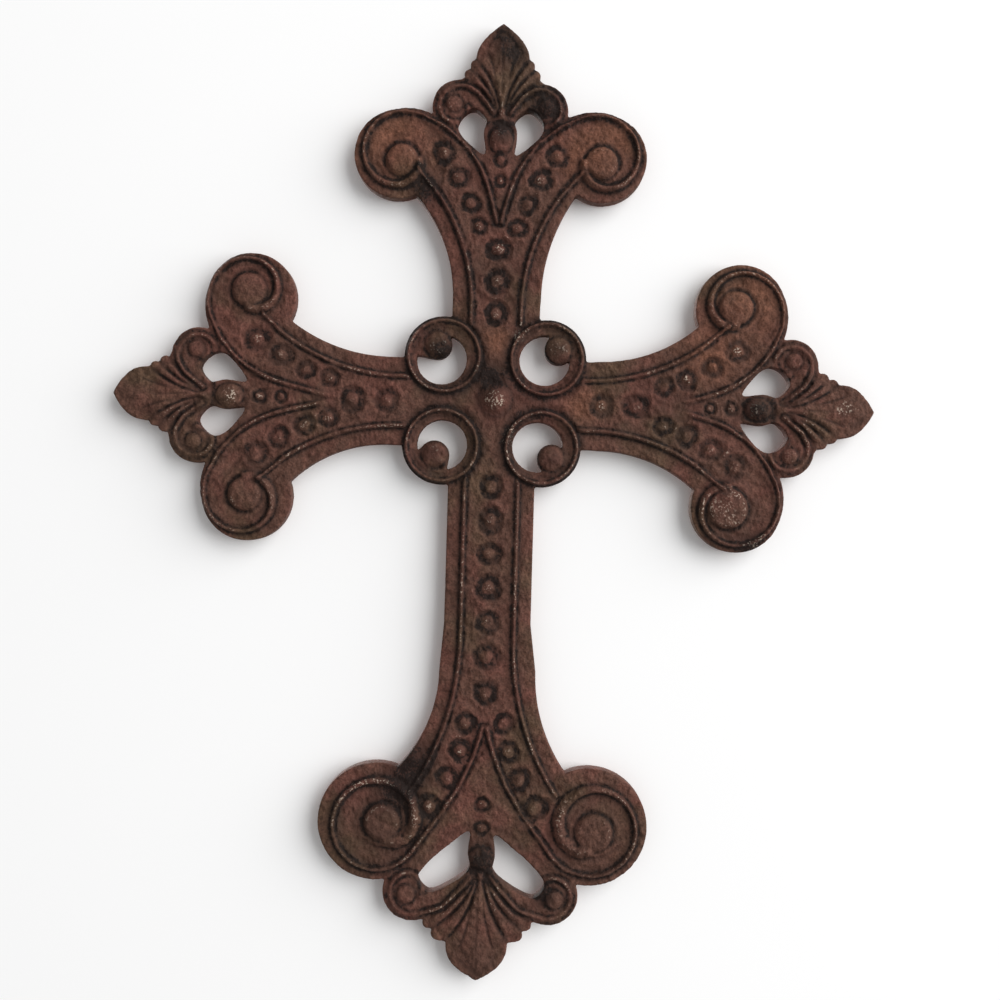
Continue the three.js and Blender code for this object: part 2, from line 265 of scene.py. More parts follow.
SHORT_ARM = ArmSize(
    reach=128.4,
    edge=Sweep(14.8, 33.0, 14.8, 35.5, 60.0),
    rim=Sweep(8.4, 31.0, 8.4, 32.0, 66.0, 27.0, 78.5),
    scroll=Spot(33.9, 83.0, 15.1),
    crown=20.5,
    crown_angle=60.0,
    eye=Spot(34.2, 82.3, 5.6),
    crescent=(-10.0, 160.0),
    curl=Curl(16.6, 126.0, 306.0, 0.95, 0.9, 0.48, 1.2),
    fork=Fork(60.5, 0.1, 0.42),
    beads=(Spot(6.6, 57.5, 4.0), Spot(9.4, 65.5, 4.3), Spot(13.8, 74.0, 4.6), Spot(19.4, 82.0, 4.9)),
    stem_beads=(Spot(0.0, 73.5, 2.8), Spot(0.0, 80.5, 3.3)),
    knot=Spot(4.4, 89.0, 5.2),
    piercing=((5.2, 83.9), (11.0, 88), (14.0, 92.3), (12.8, 96.4), (9.0, 98.8), (5.0, 95.2), (5.9, 91)),
    small=Spot(13.8, 99.6, 9.3),
    small_end=84.0,
    small_eye=Spot(15.8, 100.6, 2.6),
    lobes=(Spot(11.0, 110.9, 1.9), Spot(9.0, 114.2, 1.9)),
    leaf=Leaf(9.0, 116.6, 96.0),
)

FOOT_ARM = ArmSize(
    reach=194.5,
    edge=Sweep(14.6, 74.0, 15.8, 90.0, 54.0),
    rim=Sweep(9.0, 78.0, 9.0, 80.0, 92.0, 25.0, 131.5),
    scroll=Spot(35.5, 141.7, 19.7),
    crown=19.7,
    crown_angle=60.0,
    eye=Spot(35.7, 142.6, 6.3),
    crescent=(-140.0, 30.0),
    curl=Curl(15.4, 146.0, 396.0, 4.0, 0.7, 0.48, 2.4),
    fork=Fork(109.0, 0.1, 0.4),
    beads=(Spot(6.2, 107.5, 4.4), Spot(8.2, 116.8, 4.7), Spot(11.9, 126.5, 5.0), Spot(17.8, 135.8, 5.3)),
    stem_beads=(Spot(0.3, 134.9, 3.2), Spot(0.3, 143.0, 3.2)),
    knot=Spot(4.6, 153.0, 4.2),
    piercing=((4.4, 144.8), (11.4, 150), (18.3, 156.2), (21, 161), (17, 165.2), (9.4, 161.6), (4.3, 157),
              (4.8, 151.8)),
    small=Spot(23.1, 165.3, 10.0),
    small_end=108.0,
    small_eye=Spot(25.2, 166.4, 3.0),
    lobes=(Spot(16.4, 175.4, 2.0), Spot(13.3, 178.9, 2.2)),
    leaf=Leaf(10.4, 181.5, 157.0),
)

ARMS = (
    Arm(SHORT_ARM, 0.0, (30.5, 41.5, 52.0), 0.3, -0.1, 0.6, 2.0, 1.9, 1.0, 0.0, (
        Slips(65.0, 0.2, Spot(0.5, 0.6, -0.2), Spot(-0.7, -0.5, 0.0), Spot(-0.2, 0.5, 0.4),
              Spot(-0.1, -0.4, 0.0)),
        Slips(51.0, 0.0, Spot(0.6, 0.5, -0.2), Spot(0.4, 0.3, 0.0), Spot(0.4, 0.6, 0.3),
              Spot(-1.0, -0.9, 0.0)),
    )),
    Arm(SHORT_ARM, 90.0, (36.0, 47.5), 0.7, 0.0, -6.1, -2.2, 2.6, 0.6, 0.1, (
        Slips(56.0, 0.0, Spot(-0.6, -0.6, -0.2), Spot(-0.4, 0.0, 0.0), Spot(0.0, 0.1, 0.6),
              Spot(1.4, 0.9, 0.3)),
        Slips(46.0, 0.0, Spot(-0.2, -0.6, 0.0), Spot(-0.1, 0.3, 0.0), Spot(-0.9, 0.5, 0.6),
              Spot(-1.1, 0.8, 0.2)),
    )),
    Arm(FOOT_ARM, 180.0, (28.0, 39.2, 50.4, 61.8, 73.4, 85.2, 97.6), 0.3, 0.8, 0.0, 0.0, 2.7, 0.8, 0.0, (
        Slips(49.0, 0.0, Spot(0.2, -0.1, 0.0), Spot(-0.2, -0.5, 0.0), Spot(-0.1, -0.3, 0.3),
              Spot(-2.1, -0.9, 0.0)),
        Slips(59.0, 0.9, Spot(0.4, 0.1, 0.1), Spot(-0.1, 0.0, 0.0), Spot(0.3, 0.9, 0.4),
              Spot(2.1, 0.9, 0.1)),
    )),
    Arm(SHORT_ARM, 270.0, (36.5, 48.0), -0.5, 0.1, -0.5, -0.4, 2.6, 0.5, 0.16, (
        Slips(50.0, 0.2, Spot(-0.7, -0.3, 0.2), Spot(-0.3, -0.4, 0.0), Spot(0.0, 0.1, 0.6),
              Spot(-0.5, -2.5, 1.3)),
        Slips(50.0, 0.2, Spot(-0.6, -0.3, 0.2), Spot(0.8, 0.4, 0.0), Spot(-0.3, 0.5, 0.6),
              Spot(-0.3, -1.4, 0.3)),
    )),
)

# One ring in the corner after each arm, in the order of the arms
RINGS = (
    Ring((-17.1, 15.9), (-17.9, 14.7), (-19.4, 19.7), (35.0, 0.0)),
    Ring((-17.2, -14.3), (-17.1, -14.2), (-19.5, -17.6), (35.0, 0.0)),
    Ring((16.5, -14.4), (15.2, -14.2), (20.0, -18.0), (0.0, 10.0)),
    Ring((17.6, 15.5), (16.9, 15.1), (21.6, 18.8), (15.0, 0.0)),
)
BOSS = Spot(0.6, 1.6, 5.8)
MIDDLE_BEAD = 5.2

# Places on the cross, to the right and up, that hands have rubbed, that get a painted glint of
# highlight, that have gone black, that are a little darker and that have rusted orange
RUBBED = (
    Spot(0.6, 1.6, 3.6), Spot(0.8, 52.0, 2.6), Spot(5.6, -12.0, 5.5), Spot(79.5, -33.0, 5.6),
    Spot(118.0, 1.3, 3.0), Spot(90.0, -44.6, 3.5), Spot(-46.0, -131.0, 6.0), Spot(-88.9, 0.6, 1.8),
    Spot(8.5, 23.0, 3.0),
)
PAINTED_GLINTS = (Spot(0.6, 1.6, 2.4), Spot(1.2, 52.2, 1.4), Spot(118.0, 1.3, 2.0), Spot(-88.9, 0.8, 1.3))
SOOTY = (
    Spot(-1.0, 8.8, 4.6), Spot(3.4, 118.5, 5.0), Spot(0.0, 125.0, 3.2), Spot(14.5, 100.5, 5.5),
    Spot(89.0, 0.0, 5.0), Spot(0.0, -153.4, 4.2), Spot(-24.0, -121.0, 7.0), Spot(0.5, 92.0, 4.0),
    Spot(88.0, -47.5, 5.0), Spot(-17.4, 17.6, 3.0), Spot(-25.0, 71.0, 4.5),
    Spot(21.0, -165.0, 3.5), Spot(-28.0, -131.0, 6.0),
)
# Patches darkened a little; over the foot's left scroll the darkening is painted shade
DIMMED = (
    Spot(-36.0, -143.0, 17.0), Spot(0.8, -186.0, 9.0), Spot(0.0, 3.0, 15.0), Spot(0.5, 42.0, 12.0),
    Spot(0.5, -152.0, 12.0), Spot(58.0, 0.0, 14.0),
)
RUSTY = (
    Spot(0.5, 21.0, 5.0), Spot(30.0, 0.5, 6.0), Spot(-38.0, 91.0, 15.0), Spot(40.0, 92.0, 11.0),
    Spot(27.0, 84.0, 8.0), Spot(89.0, 40.0, 14.0), Spot(73.0, 18.0, 10.0),
)

# Ridges and grooves of the relief, up or down in millimetres
FLANK_RIDGE = Cut(0.7, 0.0, 0.45)
FLANK_GROOVE = Cut(-0.45, 1.0, 0.34)
VOLUTE_GROOVE = Cut(-1.0, 0.55, 0.38)
EYE_GROOVE = Cut(-0.65, 0.6, 0.75)
EYE_LIP = Cut(0.3, 2.4, 1.0)
LOBE_SWELL = Cut(0.3, 1.5, 1.0)
VEIN_GROOVE = Cut(-0.35, 0.0, 0.45)
MIDRIB_GROOVE = Cut(-0.45, 0.0, 0.4)
HOOK_RIDGE = Cut(0.9, 0.0, 0.65)
HOOK_GROOVE = Cut(-0.75, 1.25, 0.45)
SMALL_EYE_GROOVE = Cut(-0.6, 0.4, 0.55)
BALL_GROOVE = Cut(-0.45, 0.2, 0.5)
RING_TRENCH = Cut(-0.7, 0.15, 0.42)

# Lip of a bead's funnel and depth of the collar below a knot, placed by shares of their radius
FUNNEL_LIP = Cut(0.25, 1.0, 0.16)
KNOT_COLLAR = Cut(0.6, 1.05, 0.16)

# Lines of soot, from none at 0 to black at 1; beside the eye the line is a painted shadow in its crescent
EYE_SHADOW = Cut(1.0, 0.6, 0.9)
LOBE_SOOT = Cut(0.7, 0.0, 0.6)
HOOK_SOOT = Cut(1.0, 1.2, 0.6)
SMALL_EYE_SOOT = Cut(0.5, 0.5, 0.7)
CREST_SOOT = (Cut(0.95, 1.1, 0.6), Cut(0.8, -0.95, 0.45))
RING_SOOT = Cut(0.4, 0.4, 1.3)
BALL_SOOT = (Cut(0.6, -0.2, 0.7), Cut(0.3, -4.9, 3.92))


def on_circle(x: float, y: float, radius: float, angle: float) -> tuple[float, float]:
    """A point on a circle, with its angle in degrees."""
    return x + radius * math.cos(math.radians(angle)), y + radius * math.sin(math.radians(angle))


def arc(x: float, y: float, radius: float, start: float, end: float) -> Points:
    """Points round an arc, both ends included, as close together as a fine curve needs.

    Args:
        x: Middle of the arc across.
        y: Middle of the arc along.
        radius: Its radius.
        start: First angle in degrees.
        end: Last angle in degrees.

    Returns:
        An array of points.
    """
    length = abs(math.radians(end - start)) * radius
    angles = np.linspace(start, end, max(3, int(length * FINENESS) + 2))
    return np.array([on_circle(x, y, radius, angle) for angle in angles])


def heading(x: float, y: float) -> float:
    """Angle of a direction in degrees."""
    return math.degrees(math.atan2(y, x))


def bezier(points: list[Any], count: int) -> Points:
    """A curve through its first and last point, drawn towards those between.

    Args:
        points: Three or four control points.
        count: Number of points wanted.

    Returns:
        An array of points along the curve.
    """
    part = np.linspace(0.0, 1.0, count)[:, None]
    rows = [np.asarray(point, float)[None, :] + 0.0 * part for point in points]
    while len(rows) > 1:
        rows = [a + (b - a) * part for a, b in zip(rows, rows[1:])]
    return rows[0]


def smooth_loop(knots: Points, steps: int) -> Points:
    """A closed curve that runs smoothly through its knots.

    Args:
        knots: The knots in order.
        steps: Points from each knot to the next.

    Returns:
        An array of points round the loop.
    """
    part = np.linspace(0.0, 1.0, steps, endpoint=False)[:, None]
    spans = []
    for i in range(len(knots)):
        before, here, after, beyond = (knots[(i + step) % len(knots)] for step in (-1, 0, 1, 2))
        slope = (after - before) / 2
        next_slope = (beyond - here) / 2
        square = part * part
        cube = square * part
        spans.append(here * (2 * cube - 3 * square + 1) + slope * (cube - 2 * square + part)
                     + after * (3 * square - 2 * cube) + next_slope * (cube - square))
    return np.concatenate(spans)


def step(low: float, high: float, value: Grid) -> Grid:
    """A smooth step from 0 at low to 1 at high, which may be the smaller of the two."""
    part = np.clip((value - low) / (high - low), 0.0, 1.0)
    return part * part * (3 - 2 * part)


def swell(distance: Grid, width: float | Grid, power: float = 2.0) -> Grid:
    """A rounded ridge that is 1 on its line and dies away beyond its half width."""
    return np.exp(-((np.abs(distance) / width) ** power))


def dome_over(square: Grid) -> Grid:
    """Height of a round dome of height 1, by the squared share of its radius."""
    return np.sqrt(np.clip(1 - square, 0.0, None))


def sand_waves(x: Grid, y: Grid) -> Grid:
    """The slight waves and pits that sand casting leaves, as heights in millimetres.

    Args:
        x: Places to the right on the cross.
        y: Places up the wall.

    Returns:
        The height of the waves at each place, up or down from nothing.
    """
    chance = np.random.default_rng(7)
    total = np.zeros(x.shape)
    long_waves, short_waves = (4.5, 15.0, 0.05, 24), (1.3, 3.4, 0.03, 40)
    for shortest, longest, depth, count in (long_waves, short_waves):
        for i in range(count):
            turn = math.pi * (i + chance.uniform()) / count
            start = chance.uniform(0.0, 2 * math.pi)
            pace = 2 * math.pi / chance.uniform(shortest, longest)
            total += depth * np.sin(pace * (math.cos(turn) * x + math.sin(turn) * y) + start)
    return total


class Chart:
    """Heights over one half of an arm on a regular grid, in the way a pattern is carved.

    The grid lies across and along the arm, and x and y say where its places are on the cross.
    """

    PITCH = 0.25
    MARGIN = 4.0
    SOFTENING = 0.18
    CLOSE = 0.6
    BROAD = 2.0
    GRIT_PACE = 1.7
    GRIT_START = (40.0, -25.0)
    GRIT_SPREAD = 0.22

    def __init__(self, half: "HalfArm") -> None:
        """Lays out the grid.

        Args:
            half: The half arm that it covers.
        """
        size = half.arm.size
        across = np.arange(-self.MARGIN, half.scroll.across + size.crown + 5, self.PITCH)
        along = np.arange(-self.MARGIN, size.reach + 4, self.PITCH)
        self.grid_across, self.along = np.meshgrid(across, along)
        self.across = np.abs(self.grid_across)
        flat = np.stack([self.grid_across.ravel(), self.along.ravel()], axis=1)
        self.x, self.y = (values.reshape(self.along.shape) for values in half.plate(flat).T)
        self.height = np.full(self.along.shape, FIELD)
        self.soot_and_shade, self.wear_and_glint, self.rust, self.shore = (np.zeros(self.along.shape) for _ in range(4))
        self.field = np.zeros(self.along.shape, bool)
        right, up = self.GRIT_START
        grit = sand_waves(self.GRIT_PACE * self.x + right, self.GRIT_PACE * self.y + up)
        self.grit = grit / self.GRIT_SPREAD

    def away(self, spot: Spot) -> Grid:
        """How far each place is from the middle of a spot on the arm."""
        return np.hypot(self.across - spot.across, self.along - spot.along)

    def around(self, spot: Spot) -> Grid:
        """Direction of each place from the middle of a spot on the arm, from 0 to 360 degrees."""
        return np.degrees(np.arctan2(self.along - spot.along, self.across - spot.across)) % 360

    def gap(self, place: tuple[float, float]) -> Grid:
        """How far each place is from a place on the cross."""
        return np.hypot(self.x - place[0], self.y - place[1])

    def cover(self, spots: tuple[Spot, ...]) -> Grid:
        """How strongly soft round patches of the cross cover each place, from 0 to 1."""
        total = sum(swell(self.gap((spot.across, spot.along)), spot.radius) for spot in spots)
        return np.minimum(total, 1.0)

    def blacken(self, share: Grid) -> None:
        """Lays soot and painted shade where there is less of it."""
        self.soot_and_shade = np.maximum(self.soot_and_shade, share)

    def stand(self, dome: Grid, low: float, rise: Grid) -> None:
        """Lets a body stand out of the ground wherever its dome reaches."""
        self.height = np.maximum(self.height, np.where(dome > 0, low + rise, 0.0))

    def lay_patina_and_light(self) -> None:
        """Works out where soot and painted shade lie, where hands have rubbed, where highlights and glints
        are painted, and where rust shows.
        """
        close = self.blurred(self.CLOSE) - self.height
        broad = self.blurred(self.BROAD) - self.height
        hollow = np.clip(0.9 * close / 0.3 + 0.35 * broad / 0.9, 0.0, 1.0)
        hollow *= step(0.2, 1.5, self.shore)
        black, dimmed, rubbed = self.cover(SOOTY), self.cover(DIMMED), self.cover(RUBBED)
        soot_and_shade = np.maximum(self.soot_and_shade * (1 + 0.3 * self.grit), hollow)
        self.soot_and_shade = np.clip(soot_and_shade * (1 + 0.5 * black) + 0.8 * black + 0.16 * dimmed, 0.0, 1.0)
        high = np.clip(-0.6 * close / 0.2 - 0.6 * broad / 0.9, 0.0, 1.0)
        # Pale flecks on high and rubbed places are part wear and part painted highlight; the glints are
        # painted highlights
        patina_and_painted_light = high * 0.5 + rubbed * (0.5 + 0.5 * high) + 0.7 * self.cover(PAINTED_GLINTS)
        self.wear_and_glint = np.clip(self.wear_and_glint + patina_and_painted_light, 0.0, 1.0)
        self.rust = self.cover(RUSTY) * (1 - self.soot_and_shade)

    def carve_ring(self, ring: Ring) -> None:
        """Sets a ring with its crest and its ball, where it reaches into this half arm.

        Args:
            ring: The ring.
        """
        away, gap = self.gap(ring.middle), self.gap(ring.ball)
        hole = np.maximum(self.gap(ring.hole) - ring.HOLE, 0.0)
        inner = np.maximum(ring.INNER - away, 0.0)
        ledge = LEDGE + (RING_GROUND - LEDGE) * hole / (hole + inner + 1e-6)
        outer = np.interp(away, [ring.CREST, ring.RADIUS + 0.1], [RING_GROUND, RING_FOOT])
        body = np.where(away < ring.CREST, ledge, outer)
        body += RING_RISE * (1 + 0.12 * self.grit) * swell(away - ring.CREST, 0.5)
        right, up = (math.copysign(0.7071, value) for value in ring.middle)
        facing = ((self.x - ring.ball[0]) * right + (self.y - ring.ball[1]) * up) / (gap + 1e-6)
        body += step(0.5, -0.2, facing) * BALL_GROOVE.at(gap - ring.BALL)
        web = LEDGE + 1.1 * step(-0.2, 0.6, facing) * swell(np.maximum(gap - ring.BALL, 0.0), 2.4)
        body = np.where((web > body) & (away < ring.INNER), web, body)
        dome = dome_over((gap / ring.DOME) ** 2)
        ball = ring.BALL_FOOT + ring.BALL_RISE * dome + 0.1 * self.grit * dome
        body = np.maximum(body, np.where(dome > 0, ball, 0.0))
        dark = [line.at(away - ring.CREST) for line in CREST_SOOT]
        dark += [line.at(gap - ring.BALL) for line in BALL_SOOT]
        dark = np.max([*dark, RING_SOOT.at(away - ring.RADIUS)], axis=0)
        self.soot_and_shade = np.where(away < ring.RADIUS + 0.8, dark, np.maximum(self.soot_and_shade, dark))
        trench = self.height + RING_TRENCH.at(away - ring.RADIUS)
        self.height = np.where(away < ring.RADIUS + 0.1, body, trench)

    def carve_boss(self) -> None:
        """Raises the boss in the middle of the crossing."""
        mound = swell(self.gap((BOSS.across, BOSS.along)), 0.68 * BOSS.radius, 2.3)
        self.height = np.maximum(self.height, BOSS_FOOT + BOSS_RISE * mound)

    def window(self, low: Points, high: Points, reach: float) -> tuple[slice, slice]:
        """The part of the grid round a box, widened by a reach."""
        columns = [int((value + self.MARGIN) / self.PITCH) for value in (low[0] - reach, high[0] + reach)]
        rows = [int((value + self.MARGIN) / self.PITCH) for value in (low[1] - reach, high[1] + reach)]
        first = max(0, columns[0]) if low[0] > reach + self.MARGIN else 0
        return slice(max(0, rows[0]), max(0, rows[1] + 2)), slice(first, max(0, columns[1] + 2))

    def distance(self, line: Points, reach: float = 9.0) -> tuple[Grid, Grid]:
        """How far each place is from a line.

        Args:
            line: The line's points.
            reach: Distance beyond which places count as this far away.

        Returns:
            The distance, and the place along the line from 0 to 1, of every grid point.
        """
        far = np.full(self.along.shape, reach)
        place = np.zeros(self.along.shape)
        lengths = np.hypot(*np.diff(line, axis=0).T)
        total = max(lengths.sum(), 1e-9)
        done = 0.0
        for start, end, length in zip(line[:-1], line[1:], lengths):
            part = self.window(np.minimum(start, end), np.maximum(start, end), reach)
            across = self.across[part] - start[0]
            along = self.along[part] - start[1]
            run = end - start
            share = np.clip((across * run[0] + along * run[1]) / max(length**2, 1e-12), 0.0, 1.0)
            gap = np.hypot(across - share * run[0], along - share * run[1])
            closer = gap < far[part]
            far[part] = np.where(closer, gap, far[part])
            place[part] = np.where(closer, (done + share * length) / total, place[part])
            done += length
        return far, place

    def inside(self, loop: Points) -> Grid:
        """Which places lie inside a closed loop."""
        found = np.zeros(self.along.shape, bool)
        for start, end in zip(loop, np.roll(loop, -1, axis=0)):
            if start[1] == end[1]:
                continue
            spans = (start[1] > self.along) != (end[1] > self.along)
            meets = start[0] + (end[0] - start[0]) * (self.along - start[1]) / (end[1] - start[1])
            found ^= spans & (self.across < meets)
        return found

    def blurred(self, width: float) -> Grid:
        """The carved heights softened over a width in millimetres."""
        count = max(1, int(3 * width / self.PITCH))
        weights = np.exp(-0.5 * (np.arange(-count, count + 1) * self.PITCH / width) ** 2)
        weights /= weights.sum()
        soft = self.height
        for axis in (0, 1):
            pad = [(count, count) if axis == i else (0, 0) for i in (0, 1)]
            wide = np.pad(soft, pad, mode="edge")
            size = soft.shape[axis]
            soft = sum(weight * np.take(wide, range(i, i + size), axis) for i, weight in enumerate(weights))
        return soft

    def sample(self, values: Grid, across: Grid, along: Grid) -> Grid:
        """Values between the grid's points.

        Args:
            values: One value for each grid point.
            across: Offsets across the arm, from its middle line.
            along: Lengths along the arm.

        Returns:
            The value at each place.
        """
        rows, columns = values.shape
        column = np.clip((across + self.MARGIN) / self.PITCH, 0, columns - 1.001)
        row = np.clip((along + self.MARGIN) / self.PITCH, 0, rows - 1.001)
        left, low = column.astype(int), row.astype(int)
        right, up = column - left, row - low
        bottom = values[low, left] * (1 - right) + values[low, left + 1] * right
        top = values[low + 1, left] * (1 - right) + values[low + 1, left + 1] * right
        return bottom * (1 - up) + top * up


@dataclass
class HalfArm:
    """One side of one arm: its outline, its rims and the relief carved on it."""

    arm: Arm
    side: Side

    def __post_init__(self) -> None:
        """Works out the places that this arm's slips move."""
        size = self.arm.size
        self.slips = self.arm.sides[0 if self.side is Side.RIGHT else 1]
        self.scroll = size.scroll.moved(self.slips.scroll)
        self.outset = size.eye.moved(self.slips.scroll)
        self.eye = size.eye.moved(self.slips.eye)
        self.small = size.small.moved(self.slips.small)
        self.small_eye = size.small_eye.moved(self.slips.small)
        self.lean = self.side.value * self.arm.lean
        bow_half = size.edge.bow_half + self.slips.flare
        edge = size.edge
        self.edge = Sweep(edge.half, edge.straight_end, bow_half, edge.bow_start, self.slips.bow)

    def plate(self, points: Points) -> Points:
        """Moves points of this upright half arm to their place on the cross.

        Args:
            points: Points across and along the arm.

        Returns:
            The same points, x to the right and y up the wall.
        """
        across, along = points[:, 0] * self.side.value, points[:, 1]
        across = across + self.arm.swayed(along)
        cosine, sine = math.cos(math.radians(self.arm.turn)), math.sin(math.radians(self.arm.turn))
        return np.stack([across * cosine - along * sine, across * sine + along * cosine], axis=1)

    def outline(self, start: float) -> Points:
        """The outer edge from the crossing to the tip.

        Args:
            start: Length along the arm at which the flank begins.

        Returns:
            The points of the edge across and along the arm.
        """
        size, scroll, small = self.arm.size, self.scroll, self.small
        places = np.linspace(self.edge.bow_start, scroll.along, 400)
        gaps = np.hypot(self.edge.width(places) - scroll.across, places - scroll.along) - scroll.radius
        end = places[np.argmax(gaps < 0)]
        flank = np.linspace(start, end, int((end - start) * FINENESS))
        parts = [np.stack([self.edge.width(flank), flank], axis=1)]

        notch = heading(float(self.edge.width(end)) - scroll.across, end - scroll.along)
        parts.append(arc(scroll.across, scroll.along, scroll.radius, notch, size.crown_angle)[1:])
        back = on_circle(scroll.across, scroll.along, scroll.radius - size.crown, size.crown_angle)
        gap = math.hypot(small.across - back[0], small.along - back[1])
        share = (gap**2 + size.crown**2 - small.radius**2) / (2 * gap)
        turn = heading(small.across - back[0], small.along - back[1])
        crown_end = (turn - math.degrees(math.acos(min(1.0, share / size.crown)))) % 360
        meet = on_circle(back[0], back[1], size.crown, crown_end)
        parts.append(arc(back[0], back[1], size.crown, size.crown_angle, crown_end)[1:])
        small_start = heading(meet[0] - small.across, meet[1] - small.along)
        parts.append(arc(small.across, small.along, small.radius, small_start, size.small_end)[1:])
        for lobe in size.lobes:
            parts.append(arc(lobe.across + self.lean, lobe.along, lobe.radius, -40.0, 75.0))
        rise = np.linspace(0.0, size.reach - size.leaf.spring, 22)
        width = self.leaf_width(size.leaf.spring + rise) + self.lean
        parts.append(np.stack([width, size.leaf.spring + rise], axis=1))
        return np.concatenate(parts)

    def leaf_width(self, along: Grid) -> Grid:
        """Half width of the leaf, which narrows to a point at the tip of the arm."""
        leaf = self.arm.size.leaf
        part = np.clip((along - leaf.spring) / (self.arm.size.reach - leaf.spring), 0.0, 1.0)
        return leaf.half * (1 - part**self.arm.point)

    def piercing(self) -> Points:
        """The hole beside the finial's stem, as a closed loop."""
        slip = self.slips.piercing
        loop = smooth_loop(np.array(self.arm.size.piercing, float) + [slip.across, slip.along], 6)
        away = loop - loop.mean(axis=0)
        return loop + slip.radius * away / np.linalg.norm(away, axis=1, keepdims=True)

    def flank_rim(self) -> Points:
        """The raised rim along the flank."""
        rim = self.arm.size.rim
        along = np.linspace(rim.start, rim.end, 60)
        return np.stack([rim.width(along), along], axis=1)

    def wind(self, part: float) -> tuple[float, float]:
        """A point of the volute rim, 0 where it joins the scroll and 1 at its eye."""
        curl = self.arm.size.curl
        reach = self.eye.radius + (curl.start - self.eye.radius) * (1 - part**curl.tightening)
        across = self.outset.across + (self.eye.across - self.outset.across) * part
        along = self.outset.along + (self.eye.along - self.outset.along) * part
        return on_circle(across, along, reach, curl.angle - curl.turn * part)

    def branch(self) -> Points:
        """The rim from the fork to the scroll."""
        fork = self.arm.size.fork
        begin = np.array([0.7, fork.along + self.arm.split])
        meet = np.array(self.wind(0.0))
        ahead = np.array(self.wind(0.01)) - meet
        pull = fork.pull * np.linalg.norm(meet - begin)
        lead = begin + [fork.lean * pull / fork.pull, pull]
        return bezier([begin, lead, meet - pull * ahead / np.linalg.norm(ahead), meet], 40)

    def volute(self, end: float = 1.0) -> Points:
        """The rim from the fork round the scroll, as far as a share of its winding."""
        turns = np.array([self.wind(part) for part in np.linspace(0.01, end, 90)])
        return np.concatenate([self.branch(), turns])

    def channel(self) -> Points:
        """The loop round the sunk field: up the flank rim, round the scroll and down the fork."""
        outer = self.volute(self.arm.size.curl.join)[::-1]
        rim = self.arm.size.rim
        foot = np.array([[0.0, -Chart.MARGIN], [rim.half, -Chart.MARGIN]])
        middle = np.array([[0.0, self.arm.size.fork.along + self.arm.split]])
        return np.concatenate([foot, self.flank_rim(), outer, middle])

    def carve(self) -> Chart:
        """Carves the relief of this half arm.

        Returns:
            The chart of its heights.
        """
        chart = Chart(self)
        self.carve_ground(chart)
        self.carve_beads(chart)
        self.carve_rims(chart)
        self.carve_leaf(chart)
        self.carve_hook(chart)
        self.carve_knot(chart)
        for ring in RINGS:
            chart.carve_ring(ring)
        chart.carve_boss()
        chart.height = chart.blurred(chart.SOFTENING)
        chart.lay_patina_and_light()
        chart.height += sand_waves(chart.x, chart.y)
        return chart

    def carve_ground(self, chart: Chart) -> None:
        """Lays the sloping border and the sunk field.

        Args:
            chart: The chart to carve.
        """
        size, eye = self.arm.size, self.eye
        edge = chart.distance(self.outline(10.0))[0]
        loop = self.piercing()
        hole = chart.distance(np.concatenate([loop, loop[:1]]))[0]
        shore = np.minimum(edge, hole)
        winding = chart.distance(self.volute())[0]
        rim = np.minimum(chart.distance(self.flank_rim())[0], winding)
        chart.shore = shore
        chart.field = chart.inside(self.channel())

        from_eye, around = chart.away(eye), chart.around(eye)
        finial = (chart.along > size.fork.along) & (around > 95) & (around < 215)
        shoulder = EDGE - 1.2 * np.exp(-shore / 0.5)
        border = shoulder + (FIELD - EDGE) * shore / (shore + rim + 1e-6)
        pillow = shoulder + (FINIAL - EDGE) * (1 - np.exp(-shore / 2.0))
        outside = np.where(finial, pillow, border)
        dish = 0.5 * (1 - swell(rim, 1.6))
        near = np.minimum(winding, np.maximum(from_eye - eye.radius, 0.0))
        bowl = 1.3 * (1 - swell(near, 2.0)) * step(eye.radius + 13, eye.radius + 7, from_eye)
        chart.height = np.where(chart.field, FIELD - np.maximum(dish, bowl), outside)

    def carve_rims(self, chart: Chart) -> None:
        """Raises the rims along the flank and round the volute, and its eye.

        Args:
            chart: The chart to carve.
        """
        eye, curl = self.eye, self.arm.size.curl
        flank = chart.distance(self.flank_rim())[0]
        winding, place = chart.distance(self.volute())
        turn_start = np.linalg.norm(np.diff(self.branch(), axis=0), axis=1).sum()
        turn_start /= np.linalg.norm(np.diff(self.volute(), axis=0), axis=1).sum()
        inner = step(0.45 + 0.55 * turn_start, 1.0, place)
        width = curl.thin + (curl.thick - curl.thin) * inner
        groove = np.where(chart.field, 0.6, 0.4) * (1 - 0.75 * inner)
        grime_and_shade = self.arm.grime_and_shade
        risen = step(-0.01, self.arm.fade, place)
        ragged = 1 + 0.22 * chart.grit
        chart.height += (FLANK_RIDGE.at(flank) + FLANK_GROOVE.at(flank)) * ragged
        ridge = (0.75 + 0.5 * inner) * swell(winding, width, 2.2)
        chart.height += risen * ragged * (ridge + groove * VOLUTE_GROOVE.at(winding - width))
        line = 0.9 * risen * swell(winding - width - 0.7, 0.5 + 0.3 * grime_and_shade) * (1 - 0.8 * inner)
        line = np.maximum(line, 0.8 * swell(flank - 1.1, 0.5 + 0.25 * grime_and_shade))
        chart.blacken(line * (0.3 + 0.7 * grime_and_shade) * np.where(chart.field, 1.0, 0.7))

        from_eye = chart.away(eye)
        first, last = self.arm.size.crescent
        turned = (chart.around(eye) - (first + last) / 2 + 180) % 360 - 180
        spread = (last - first) / 2
        crescent = step(spread + 25, spread - 10, np.abs(turned))
        beyond = from_eye - eye.radius
        chart.height += crescent * (EYE_GROOVE.at(beyond) + EYE_LIP.at(beyond))
